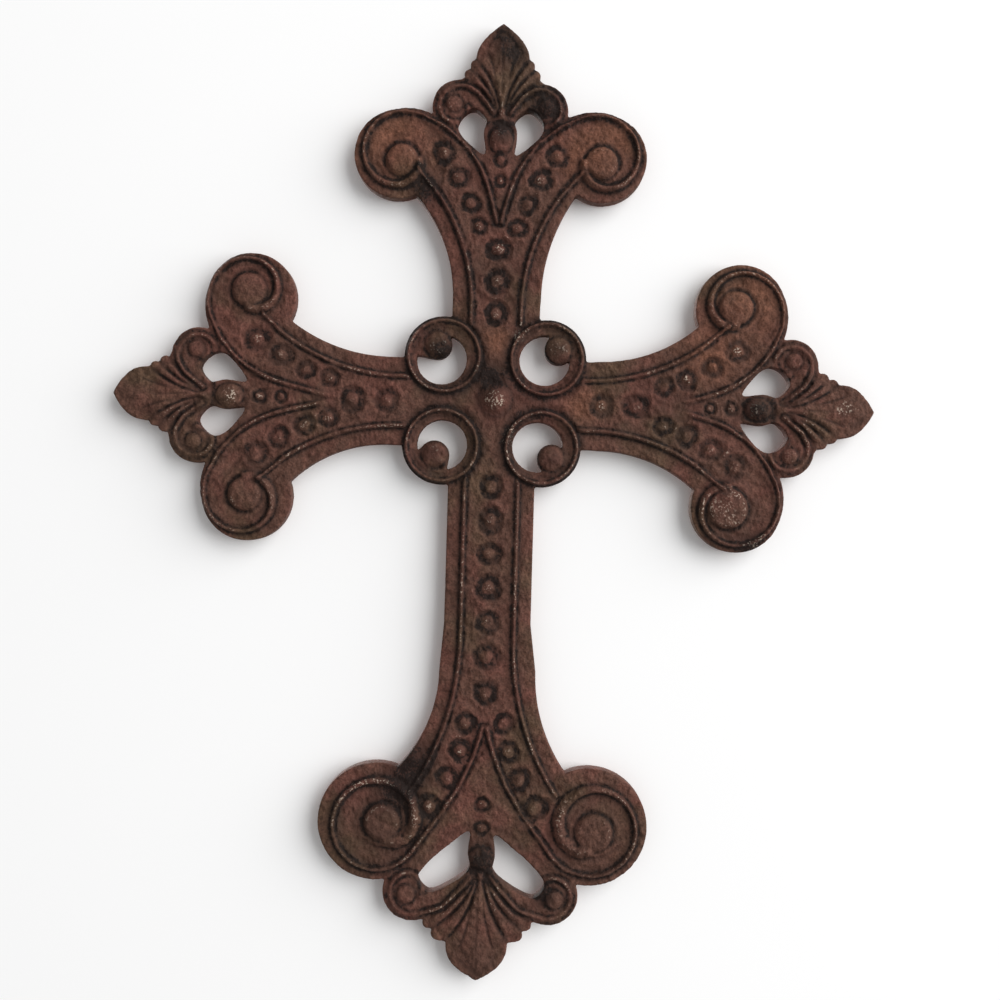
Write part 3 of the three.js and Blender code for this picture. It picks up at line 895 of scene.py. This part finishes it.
        # Painted shadow: the crescent beside the eye is darkened in the soot map
        chart.blacken((0.3 + 0.3 * grime_and_shade) * crescent * EYE_SHADOW.at(beyond))
        plateau = FIELD + 0.75 + 0.35 * (1 - np.clip(from_eye / eye.radius, 0, 1) ** 2)
        top = step(eye.radius + 0.5, eye.radius - 1.4, from_eye)
        chart.height = chart.height * (1 - top) + plateau * top

    def carve_leaf(self, chart: Chart) -> None:
        """Cuts the flutes between the lobes, and the veins and midrib of the leaf.

        Args:
            chart: The chart to carve.
        """
        size, grime_and_shade = self.arm.size, self.arm.grime_and_shade
        leaf = size.leaf
        lower, upper = size.lobes
        notches = ((leaf.half + 0.1, leaf.spring - 0.6), (upper.across + 2.0, upper.along - 1.6),
                   (lower.across + 1.4, lower.along - 1.9))
        for i, notch in enumerate(notches):
            start = (0.8 + 0.6 * i, leaf.heel + 3.5 - 1.2 * i)
            bend = (0.3 * notch[0] + 0.5 * i, leaf.heel + 0.66 * (notch[1] - leaf.heel))
            cut = chart.distance(bezier([start, bend, (notch[0] + self.lean, notch[1])], 24))[0]
            chart.height += LOBE_SWELL.at(cut) - (0.4 + 0.5 * grime_and_shade) * swell(cut, 0.48)
            chart.blacken(grime_and_shade * LOBE_SOOT.at(cut))
        vein = [(1.6, leaf.heel + 8.0), (0.3 * leaf.half, leaf.spring - 3.0),
                (0.55 * leaf.half, leaf.spring + 1.5)]
        cut = chart.distance(bezier([(across + self.lean, along) for across, along in vein], 16))[0]
        chart.height += VEIN_GROOVE.at(cut)
        fold = step(leaf.heel + 4, leaf.heel + 9, chart.along)
        fold *= step(size.reach - 0.5, size.reach - 6, chart.along)
        middle = np.abs(chart.grid_across - self.lean)
        chart.height += fold * (0.75 * np.exp(-middle / 2.4) + MIDRIB_GROOVE.at(middle))

    def carve_hook(self, chart: Chart) -> None:
        """Winds the small scroll beside the leaf, with its eye.

        Args:
            chart: The chart to carve.
        """
        small, heel = self.small, self.arm.size.leaf.heel
        hook = [(2.6, heel + 2.0), (0.55 * small.across, small.along + 0.5 * small.radius)]
        for turned in np.arange(26) / 25:
            reach = small.radius - 2.0 - 3.4 * turned**1.6
            hook.append(on_circle(small.across + 1.0 * turned, small.along, reach, 108 - 285 * turned))
        winding = chart.distance(np.array(hook))[0]
        chart.height += HOOK_RIDGE.at(winding) + HOOK_GROOVE.at(winding)
        chart.blacken((0.3 + 0.5 * self.arm.grime_and_shade) * HOOK_SOOT.at(winding))
        away, radius = chart.away(self.small_eye), self.small_eye.radius
        dome = dome_over((away / radius) ** 2)
        chart.height += SMALL_EYE_GROOVE.at(away - radius)
        chart.stand(dome, FINIAL - 0.4, 0.9 * dome)
        chart.blacken(SMALL_EYE_SOOT.at(away - radius))

    def carve_knot(self, chart: Chart) -> None:
        """Raises the knot on the finial's stem, with a collar cut round its foot.

        Args:
            chart: The chart to carve.
        """
        knot = self.arm.size.knot
        along = (chart.along - knot.along) / knot.radius
        dome = dome_over((chart.across / knot.across) ** 2 + along**2)
        collar = KNOT_COLLAR.at(along) * step(7.0, 4.0, chart.across)
        chart.height -= collar
        chart.blacken(collar)
        chart.stand(dome, KNOT_FOOT, (KNOT_TOP - KNOT_FOOT) * dome)

    def set_bead(self, chart: Chart, spot: Spot, pit: float, seed: int) -> None:
        """Sinks a ragged round funnel and leaves a small rough bead standing in it.

        Args:
            chart: The chart to carve.
            spot: The middle of the funnel and its radius.
            pit: Depth of the funnel.
            seed: Number that its raggedness, depth, soot and the painted highlight on its top come from.
        """
        chance = np.random.default_rng(seed)
        across, along = chart.across - spot.across, chart.along - spot.along
        turn = np.arctan2(along, across)
        ragged = sum(0.12 / waves * np.sin(waves * turn + chance.uniform(0.0, 6.3)) for waves in (2, 3, 5, 7))
        away = np.hypot(across, along) / spot.radius / (1 + ragged + 0.03 * chart.grit)
        pit *= chance.uniform(0.8, 1.1)
        chart.height += FUNNEL_LIP.at(away)
        hollow = np.clip(1 - away**2, 0.0, None)
        funnel = np.minimum(chart.height, BEAD_GROUND + 0.2 - pit * hollow)
        chart.height = np.where(away < 1, funnel, chart.height)
        base = BEAD_GROUND - pit * (1 - BEAD_SHARE**2)
        dome = dome_over((away / BEAD_SHARE) ** 2)
        chart.stand(dome, base, (BEAD_GROUND + 0.35 - base) * dome + 0.12 * chart.grit * dome)
        dark = step(0.05, 0.6, hollow) * (1 - 0.95 * step(0.3, 0.75, dome))
        black = np.clip(self.arm.grime_and_shade * chance.uniform(0.75, 1.1), 0.0, 1.0)
        chart.blacken((0.15 + 0.8 * black) * dark)
        # The bead's top gets pale flecks, part wear and part painted highlight
        chart.wear_and_glint = np.maximum(chart.wear_and_glint, chance.uniform(0.0, 0.38) * step(0.6, 0.95, dome))

    def carve_beads(self, chart: Chart) -> None:
        """Sets the beads along the middle, along the branch and below the finial.

        Args:
            chart: The chart to carve.
        """
        arm = self.arm
        seed = int(arm.turn)
        for i, along in enumerate(arm.middle_beads):
            grown = MIDDLE_BEAD * (0.95 + 0.08 * (i % 2))
            self.set_bead(chart, Spot(0.0, along, grown), MIDDLE_PIT, seed + i)
        chance = np.random.default_rng(seed + 2 + self.side.value)
        for i, bead in enumerate(arm.size.beads):
            slip = Spot(*chance.uniform(-0.35, 0.35, 3))
            spot = bead.moved(slip).moved(Spot(0.0, arm.nudge, 0.0))
            self.set_bead(chart, spot, BRANCH_PIT, seed + 20 + 10 * self.side.value + i)
        for i, bead in enumerate(arm.size.stem_beads):
            stem = bead.moved(Spot(0.0, 0.8 * arm.nudge, 0.0))
            self.set_bead(chart, stem, STEM_PIT, seed + 40 + i)


@dataclass
class Casting:
    """The whole cross: a flat blank cut to the outline, refined and carved to its relief."""

    thickness: float = 6.0
    voxel: float = 0.36
    triangles: int = 196000
    seat: float = 11.2
    flat_back: float = 0.9
    marked_depth: float = 2.5

    def __post_init__(self) -> None:
        """Makes the half arms in order round the cross."""
        self.halves = [(HalfArm(arm, Side.RIGHT), HalfArm(arm, Side.LEFT)) for arm in ARMS]

    def flank_start(self, half: HalfArm, ring: Ring) -> float:
        """Length along an arm at which its flank comes out of a ring's seat."""
        across, along = half.arm.own(*ring.middle)
        gap = half.edge.half - abs(across)
        return along + math.sqrt(self.seat**2 - gap**2)

    def plate_loop(self) -> Points:
        """The outline of the blank, with the seats of the rings left open.

        Returns:
            The closed outline, anticlockwise.
        """
        parts = []
        for i, (right, left) in enumerate(self.halves):
            before, after = RINGS[i - 1], RINGS[i]
            up = right.plate(right.outline(self.flank_start(right, before)))
            down = left.plate(left.outline(self.flank_start(left, after)))[::-1]
            following = self.halves[(i + 1) % len(ARMS)][0]
            start = down[-1]
            ahead = following.plate(following.outline(self.flank_start(following, after))[:1])[0]
            first = heading(start[0] - after.middle[0], start[1] - after.middle[1])
            last = heading(ahead[0] - after.middle[0], ahead[1] - after.middle[1])
            last -= 360.0 * math.ceil((last - first) / 360.0)
            seat = arc(after.middle[0], after.middle[1], self.seat, first, last)[1:-1]
            parts += [up, down[1:], seat]
        return np.concatenate(parts)

    def comma_loop(self, ring: Ring) -> Points:
        """The hole of a ring, with the ball and its neck left standing in it.

        Args:
            ring: The ring.

        Returns:
            The closed outline of the hole.
        """
        corner = heading(math.copysign(1.0, ring.middle[0]), math.copysign(1.0, ring.middle[1]))
        ball, hole = np.array(ring.ball), np.array(ring.hole)
        sides, ends = [], []
        for sign, fan in zip((1, -1), ring.fan):
            way = corner + sign * fan
            out = np.array(on_circle(0.0, 0.0, 1.0, way))
            start = np.array(on_circle(*ball, ring.BALL, way + 90 * sign)) - hole
            along = -start @ out + math.sqrt((start @ out) ** 2 - start @ start + ring.HOLE**2)
            ends.append(heading(*(start + along * out)))
            sides.append(way + 90 * sign)
        ends[1] += 360.0 * math.ceil((ends[0] - ends[1]) / 360.0)
        far = arc(hole[0], hole[1], ring.HOLE, ends[0], ends[1])
        near = arc(ball[0], ball[1], ring.BALL, sides[1] + 360.0, sides[0])
        return np.concatenate([far, near])

    def cut(self, bm: bmesh.types.BMesh, loops: list[Points]) -> None:
        """Adds a flat piece with holes, as thick as the blank.

        Args:
            bm: The mesh to add to.
            loops: The outline, then the holes.
        """
        edges = []
        for loop in loops:
            corners = [bm.verts.new((x * MM, 0.0, y * MM)) for x, y in loop]
            edges += [bm.edges.new(pair) for pair in zip(corners, corners[1:] + corners[:1])]
        filled = bmesh.ops.triangle_fill(bm, edges=edges, use_beauty=True)
        faces = [item for item in filled["geom"] if isinstance(item, bmesh.types.BMFace)]
        raised = bmesh.ops.extrude_face_region(bm, geom=faces)["geom"]
        front = [item for item in raised if isinstance(item, bmesh.types.BMVert)]
        bmesh.ops.translate(bm, verts=front, vec=(0.0, -self.thickness * MM, 0.0))

    def blank(self) -> bpy.types.Object:
        """Cuts the plate and the four rings out flat.

        Returns:
            The blank, its pieces still overlapping.
        """
        bm = bmesh.new()
        holes = [half.plate(half.piercing()) for pair in self.halves for half in pair]
        self.cut(bm, [self.plate_loop(), *holes])
        for ring in RINGS:
            self.cut(bm, [arc(*ring.middle, ring.RADIUS, 0.0, 360.0)[:-1], self.comma_loop(ring)])
        bmesh.ops.recalc_face_normals(bm, faces=bm.faces)
        return new_object("casting_blank", bm)

    def refined(self, piece: bpy.types.Object) -> None:
        """Fuses the overlapping pieces into one even skin and eases its edges.

        Args:
            piece: The blank.
        """
        remesh = piece.modifiers.new("skin", "REMESH")
        remesh.mode = "VOXEL"
        remesh.voxel_size = self.voxel * MM
        ease = piece.modifiers.new("ease", "SMOOTH")
        ease.factor = 0.5
        ease.iterations = 3
        apply_modifiers(piece)

    def lookup(self, charts: list[tuple[Chart, Chart]], name: str, points: Points) -> Grid:
        """Reads a map of every half arm at points of the cross.

        Args:
            charts: The charts of the half arms.
            name: The map, such as height or soot.
            points: Points x to the right and y up the wall.

        Returns:
            The value at each point.
        """
        places = [arm.own(*points.T) for arm in ARMS]
        nearest = np.argmax([along for _, along in places], axis=0)
        found = np.zeros(len(points))
        for i, (arm, (across, along)) in enumerate(zip(ARMS, places)):
            offset = across - arm.swayed(along)
            for chart, side in zip(charts[i], Side):
                here = (nearest == i) & ((offset >= 0) == (side is Side.RIGHT))
                found[here] = chart.sample(getattr(chart, name), np.abs(offset[here]), along[here])
        return found

    def build(self) -> bpy.types.Object:
        """Builds the carved casting.

        Returns:
            The finished piece, its back flat on the wall.
        """
        piece = self.blank()
        self.refined(piece)
        charts = [(right.carve(), left.carve()) for right, left in self.halves]
        places = positions(piece)
        height = self.lookup(charts, "height", places[:, [0, 2]] / MM)
        places[:, 1] *= height / self.thickness
        set_positions(piece, places)
        thin = piece.modifiers.new("thin", "DECIMATE")
        piece.data.calc_loop_triangles()
        thin.ratio = min(1.0, self.triangles / len(piece.data.loop_triangles))
        apply_modifiers(piece)
        set_positions(piece, positions(piece))
        self.mark_patina_and_light(piece, charts)
        facing = np.empty(len(piece.data.polygons) * 3, np.float32)
        piece.data.polygons.foreach_get("normal", facing)
        piece.data.polygons.foreach_set("use_smooth", facing[1::3] < self.flat_back)
        piece.name = "cast_cross_casting"
        return piece

    def mark_patina_and_light(self, piece: bpy.types.Object, charts: list[tuple[Chart, Chart]]) -> None:
        """Stores soot and painted shade, wear and painted highlight, and rust at each point, not on the plain
        back.

        Args:
            piece: The finished mesh.
            charts: The charts of the half arms.
        """
        places = positions(piece) / MM
        front = step(0.0, -self.marked_depth, places[:, 1])
        for name in PATINA_AND_LIGHT:
            patina_and_painted_light = front * self.lookup(charts, name, places[:, [0, 2]])
            attribute = piece.data.attributes.new(name, "FLOAT", "POINT")
            attribute.data.foreach_set("value", patina_and_painted_light.astype(np.float32))

    def dress(self, piece: bpy.types.Object, finish: "RustedCastIron") -> None:
        """Gives the piece its finish and its place in the frame.

        Args:
            piece: The finished piece.
            finish: Its finish.
        """
        piece.data.materials.clear()
        piece.data.materials.append(finish.material())
        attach(piece, "root")
        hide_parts(NODE)


def new_object(name: str, bm: bmesh.types.BMesh) -> bpy.types.Object:
    """Turns a bmesh into an object in the scene and frees it.

    Args:
        name: The object's name.
        bm: The mesh under construction.

    Returns:
        The new object, at the origin.
    """
    mesh = bpy.data.meshes.new(name)
    bm.to_mesh(mesh)
    bm.free()
    return add_object(name, mesh)


def add_object(name: str, data: bpy.types.ID) -> bpy.types.Object:
    """Puts an object with its mesh, light or camera in the scene.

    Args:
        name: The object's name.
        data: What it shows.

    Returns:
        The new object, at the origin.
    """
    made = bpy.data.objects.new(name, data)
    bpy.context.scene.collection.objects.link(made)
    return made


def apply_modifiers(piece: bpy.types.Object) -> None:
    """Keeps the result of a piece's modifiers as its mesh and removes them.

    Args:
        piece: The piece.
    """
    graph = bpy.context.evaluated_depsgraph_get()
    graph.update()
    old = piece.data
    piece.data = bpy.data.meshes.new_from_object(piece.evaluated_get(graph))
    piece.modifiers.clear()
    bpy.data.meshes.remove(old)


def positions(piece: bpy.types.Object) -> Grid:
    """The corners of a piece's mesh as rows of x, y and z in metres."""
    values = np.empty(len(piece.data.vertices) * 3, np.float32)
    piece.data.vertices.foreach_get("co", values)
    return values.reshape(-1, 3).astype(float)


def set_positions(piece: bpy.types.Object, places: Grid) -> None:
    """Moves the corners of a piece's mesh, none of them behind the wall.

    Args:
        piece: The piece.
        places: Rows of x, y and z in metres.
    """
    places[:, 1] = np.minimum(places[:, 1], 0.0)
    piece.data.vertices.foreach_set("co", places.ravel().astype(np.float32))


def linear(colour: str) -> tuple[float, float, float, float]:
    """Turns an sRGB hex colour into linear red, green, blue and alpha.

    Args:
        colour: Six hex digits after a hash.

    Returns:
        The linear values, with alpha 1.
    """
    parts = [int(colour[i:i + 2], 16) / 255 for i in (1, 3, 5)]
    red, green, blue = (p / 12.92 if p <= 0.04045 else ((p + 0.055) / 1.055) ** 2.4 for p in parts)
    return red, green, blue, 1.0


def add_node(tree: bpy.types.NodeTree, kind: str, inputs: dict[Any, Any] | None = None,
             **settings: Any) -> bpy.types.Node:
    """Adds a node with its settings, values and links.

    Args:
        tree: The node tree.
        kind: The node's type.
        inputs: For each input socket, a value or the output socket that feeds it.
        **settings: Properties of the node.

    Returns:
        The new node.
    """
    node = tree.nodes.new(kind)
    for name, value in settings.items():
        setattr(node, name, value)
    for socket, value in (inputs or {}).items():
        if isinstance(value, bpy.types.NodeSocket):
            tree.links.new(value, node.inputs[socket])
        else:
            node.inputs[socket].default_value = value
    return node


@dataclass(frozen=True)
class RustedCastIron:
    """Sand-cast iron, rusted brown and rubbed by hand.

    The eye gets a dry, dark reddish-brown skin with a sandy grain, soot black in the hollows, a painted
    shadow beside each volute eye, rust red and olive patches, and small pale sparks on the high points,
    part bare metal and part painted highlight, with a few brighter painted glints.
    """

    brown: str = "#563b31"
    red: str = "#603d34"
    olive: str = "#533e30"
    orange: str = "#704938"
    # The soot colour also paints the shadow beside the volute eyes; the spark colour also paints highlights
    # and glints
    soot_and_shade: str = "#140d0b"
    spark_and_glint: str = "#bcaa9a"
    patch_mm: float = 16.0
    rub_mm: float = 11.0
    mottle_mm: float = 2.6
    grain_mm: float = 0.75
    shift: tuple[float, float, float] = (0.31, 0.17, 0.53)
    grain_bump_mm: float = 0.4
    mottle_bump_mm: float = 0.8

    def material(self) -> bpy.types.Material:
        """Builds the material.

        Returns:
            The material.
        """
        made = bpy.data.materials.new("rusted_cast_iron")
        made.use_nodes = True
        tree = made.node_tree
        tree.nodes.clear()
        place = add_node(tree, "ShaderNodeTexCoord").outputs["Object"]
        marks = [add_node(tree, "ShaderNodeAttribute", attribute_name=name) for name in PATINA_AND_LIGHT]
        soot_and_shade, wear_and_glint, rust = (mark.outputs["Fac"] for mark in marks)

        patch = self.noise(tree, place, self.patch_mm, 3.0)
        other = add_node(tree, "ShaderNodeMapping", {"Vector": place, "Location": self.shift}).outputs[0]
        tint = self.noise(tree, other, self.patch_mm * 1.4, 3.0)
        rubbed = self.noise(tree, other, self.rub_mm, 2.0)
        mottle = self.noise(tree, place, self.mottle_mm, 4.0)
        grain = self.noise(tree, place, self.grain_mm, 2.0)

        colour = self.mix(tree, self.span(tree, patch, 0.42, 0.62), linear(self.brown), linear(self.red))
        colour = self.mix(tree, self.span(tree, tint, 0.52, 0.68), colour, linear(self.olive))
        colour = self.mix(tree, self.span(tree, rust, 0.0, 1.0, 0.0, 0.8), colour, linear(self.orange))
        shade = self.span(tree, mottle, 0.3, 0.7, 0.68, 1.25)
        speck = self.span(tree, grain, 0.3, 0.7, 0.7, 1.3)
        tone = self.times(tree, shade, speck)
        colour = add_node(tree, "ShaderNodeVectorMath", {0: colour, 3: tone}, operation="SCALE").outputs[0]

        drift = self.span(tree, mottle, 0.3, 0.7, 0.6, 1.4)
        crumbs = self.span(tree, grain, 0.3, 0.7, 0.5, 1.5)
        depth = self.times(tree, soot_and_shade, self.times(tree, drift, crumbs))
        # The soot colour darkens the hollows and also paints the shadow beside the volute eyes
        colour = self.mix(tree, self.span(tree, depth, 0.05, 0.8, 0.0, 0.94), colour, linear(self.soot_and_shade))
        flecks = self.span(tree, grain, 0.52, 0.62)
        bare = self.times(tree, flecks, self.span(tree, rubbed, 0.4, 0.66, 0.42, 1.0))
        rub_and_glint = self.times(tree, wear_and_glint, bare)
        # Pale flecks: bare metal in part, and painted highlights and glints in part
        colour = self.mix(tree, self.span(tree, rub_and_glint, 0.22, 0.6, 0.0, 0.8), colour, linear(self.spark_and_glint))
        rough = self.span(tree, rub_and_glint, 0.1, 0.6, 0.8, 0.5)

        fine = add_node(tree, "ShaderNodeBump", {
            "Height": grain, "Strength": 0.8, "Distance": self.grain_bump_mm * MM})
        coarse = add_node(tree, "ShaderNodeBump", {
            "Height": mottle, "Strength": 0.6, "Distance": self.mottle_bump_mm * MM,
            "Normal": fine.outputs[0]})
        shader = add_node(tree, "ShaderNodeBsdfPrincipled", {
            "Base Color": colour, "Roughness": rough, "Metallic": 0.0, "Specular IOR Level": 0.2,
            "Normal": coarse.outputs[0]})
        add_node(tree, "ShaderNodeOutputMaterial", {"Surface": shader.outputs[0]})
        return made

    @staticmethod
    def times(tree: bpy.types.NodeTree, first: bpy.types.NodeSocket,
              second: bpy.types.NodeSocket) -> bpy.types.NodeSocket:
        """One value multiplied by another."""
        return add_node(tree, "ShaderNodeMath", {0: first, 1: second}, operation="MULTIPLY").outputs[0]

    @staticmethod
    def noise(tree: bpy.types.NodeTree, place: bpy.types.NodeSocket, size: float,
              detail: float) -> bpy.types.NodeSocket:
        """A noise whose patches are about a size in millimetres."""
        scale = 1.0 / (size * MM)
        return add_node(tree, "ShaderNodeTexNoise", {"Vector": place, "Scale": scale, "Detail": detail,
                                                     "Roughness": 0.55}).outputs[0]

    @staticmethod
    def span(tree: bpy.types.NodeTree, value: bpy.types.NodeSocket, low: float, high: float,
             first: float = 0.0, last: float = 1.0) -> bpy.types.NodeSocket:
        """Stretches a span of values to another, clamped at both ends."""
        return add_node(tree, "ShaderNodeMapRange", {"Value": value, "From Min": low, "From Max": high,
                                                     "To Min": first, "To Max": last}).outputs[0]

    @staticmethod
    def mix(tree: bpy.types.NodeTree, share: bpy.types.NodeSocket, first: Any,
            second: Any) -> bpy.types.NodeSocket:
        """Mixes two colours by a share."""
        return add_node(tree, "ShaderNodeMix", {0: share, 6: first, 7: second}, data_type="RGBA").outputs[2]


@dataclass
class Studio:
    """A pale wall, soft light from the upper right and the camera in front of the cross.

    Each light has its place and its size in metres and its power in watts.
    """

    wall_size: float = 4.0
    wall_gap_mm: float = 0.8
    wall_white: str = "#fbfbfb"
    broad_light: tuple[float, ...] = (2.75, -2.0, 1.2, 4.2, 211.0)
    back_light: tuple[float, ...] = (-1.6, 2.6, 1.2, 3.0, 150.0)
    sky_strength: float = 0.4
    camera_mm: tuple[float, float, float] = (3.05, -450.0, -32.27)
    lens_mm: float = 47.39
    roll_degrees: float = 1.5

    def build(self) -> None:
        """Sets up the wall, the lights, the sky and the camera."""
        self.build_wall()
        self.build_lights()
        self.build_camera()

    def build_wall(self) -> None:
        """Stands a pale wall behind the cross, which shows from the front only and lets light by."""
        bm = bmesh.new()
        stand = Matrix.Translation((0.0, self.wall_gap_mm * MM, 0.0)) @ Matrix.Rotation(math.pi / 2, 4, "X")
        bmesh.ops.create_grid(bm, x_segments=1, y_segments=1, size=self.wall_size / 2, matrix=stand)
        wall = new_object("pale_wall", bm)
        paint = bpy.data.materials.new("matt_wall_paint")
        paint.use_nodes = True
        tree = paint.node_tree
        tree.nodes.clear()
        matt = add_node(tree, "ShaderNodeBsdfDiffuse", {"Color": linear(self.wall_white)})
        clear = add_node(tree, "ShaderNodeBsdfTransparent")
        behind = add_node(tree, "ShaderNodeNewGeometry").outputs["Backfacing"]
        shadow = add_node(tree, "ShaderNodeLightPath").outputs["Is Shadow Ray"]
        open_way = add_node(tree, "ShaderNodeMath", {0: behind, 1: shadow}, operation="MAXIMUM").outputs[0]
        shown = add_node(tree, "ShaderNodeMixShader", {0: open_way, 1: matt.outputs[0], 2: clear.outputs[0]})
        add_node(tree, "ShaderNodeOutputMaterial", {"Surface": shown.outputs[0]})
        wall.data.materials.append(paint)

    def build_lights(self) -> None:
        """Adds a broad light from the upper right, one for the back and an even pale sky."""
        self.add_light("broad_light", *self.broad_light)
        self.add_light("back_light", *self.back_light)
        sky = bpy.data.worlds.new("pale_sky")
        sky.use_nodes = True
        back = sky.node_tree.nodes["Background"]
        back.inputs["Color"].default_value = linear("#ffffff")
        back.inputs["Strength"].default_value = self.sky_strength
        bpy.context.scene.world = sky
        bpy.context.scene.view_settings.view_transform = "Standard"

    @staticmethod
    def add_light(name: str, x: float, y: float, z: float, size: float, watts: float) -> None:
        """Adds a square light that faces the cross.

        Args:
            name: Its name.
            x: How far right it stands, in metres.
            y: How far behind the wall it stands.
            z: How far up it stands.
            size: Its size in metres.
            watts: Its power.
        """
        light = bpy.data.lights.new(name, "AREA")
        light.size = size
        light.energy = watts
        place = Vector((x, y, z))
        facing = place.to_track_quat("Z", "Y").to_matrix().to_4x4()
        add_object(name, light).matrix_world = Matrix.Translation(place) @ facing

    def build_camera(self) -> None:
        """Adds the camera, looking straight at the wall and slightly rolled."""
        data = bpy.data.cameras.new("front_camera")
        data.lens = self.lens_mm
        data.sensor_width = 36.0
        data.clip_start = 0.01
        camera = add_object("front_camera", data)
        stand = Matrix.Rotation(math.pi / 2, 4, "X")
        roll = Matrix.Rotation(math.radians(-self.roll_degrees), 4, "Y")
        camera.matrix_world = Matrix.Translation(Vector(self.camera_mm) * MM) @ roll @ stand
        bpy.context.scene.camera = camera


def main() -> None:
    """Builds the casting and its surroundings, in order."""
    logging.basicConfig(level=logging.INFO, format="%(message)s")
    casting = Casting()
    piece = casting.build()
    casting.dress(piece, RustedCastIron())
    LOG.info("%s: %d faces", piece.name, len(piece.data.polygons))
    Studio().build()
    LOG.info("wall, light and camera set")


if __name__ == "__main__":
    main()
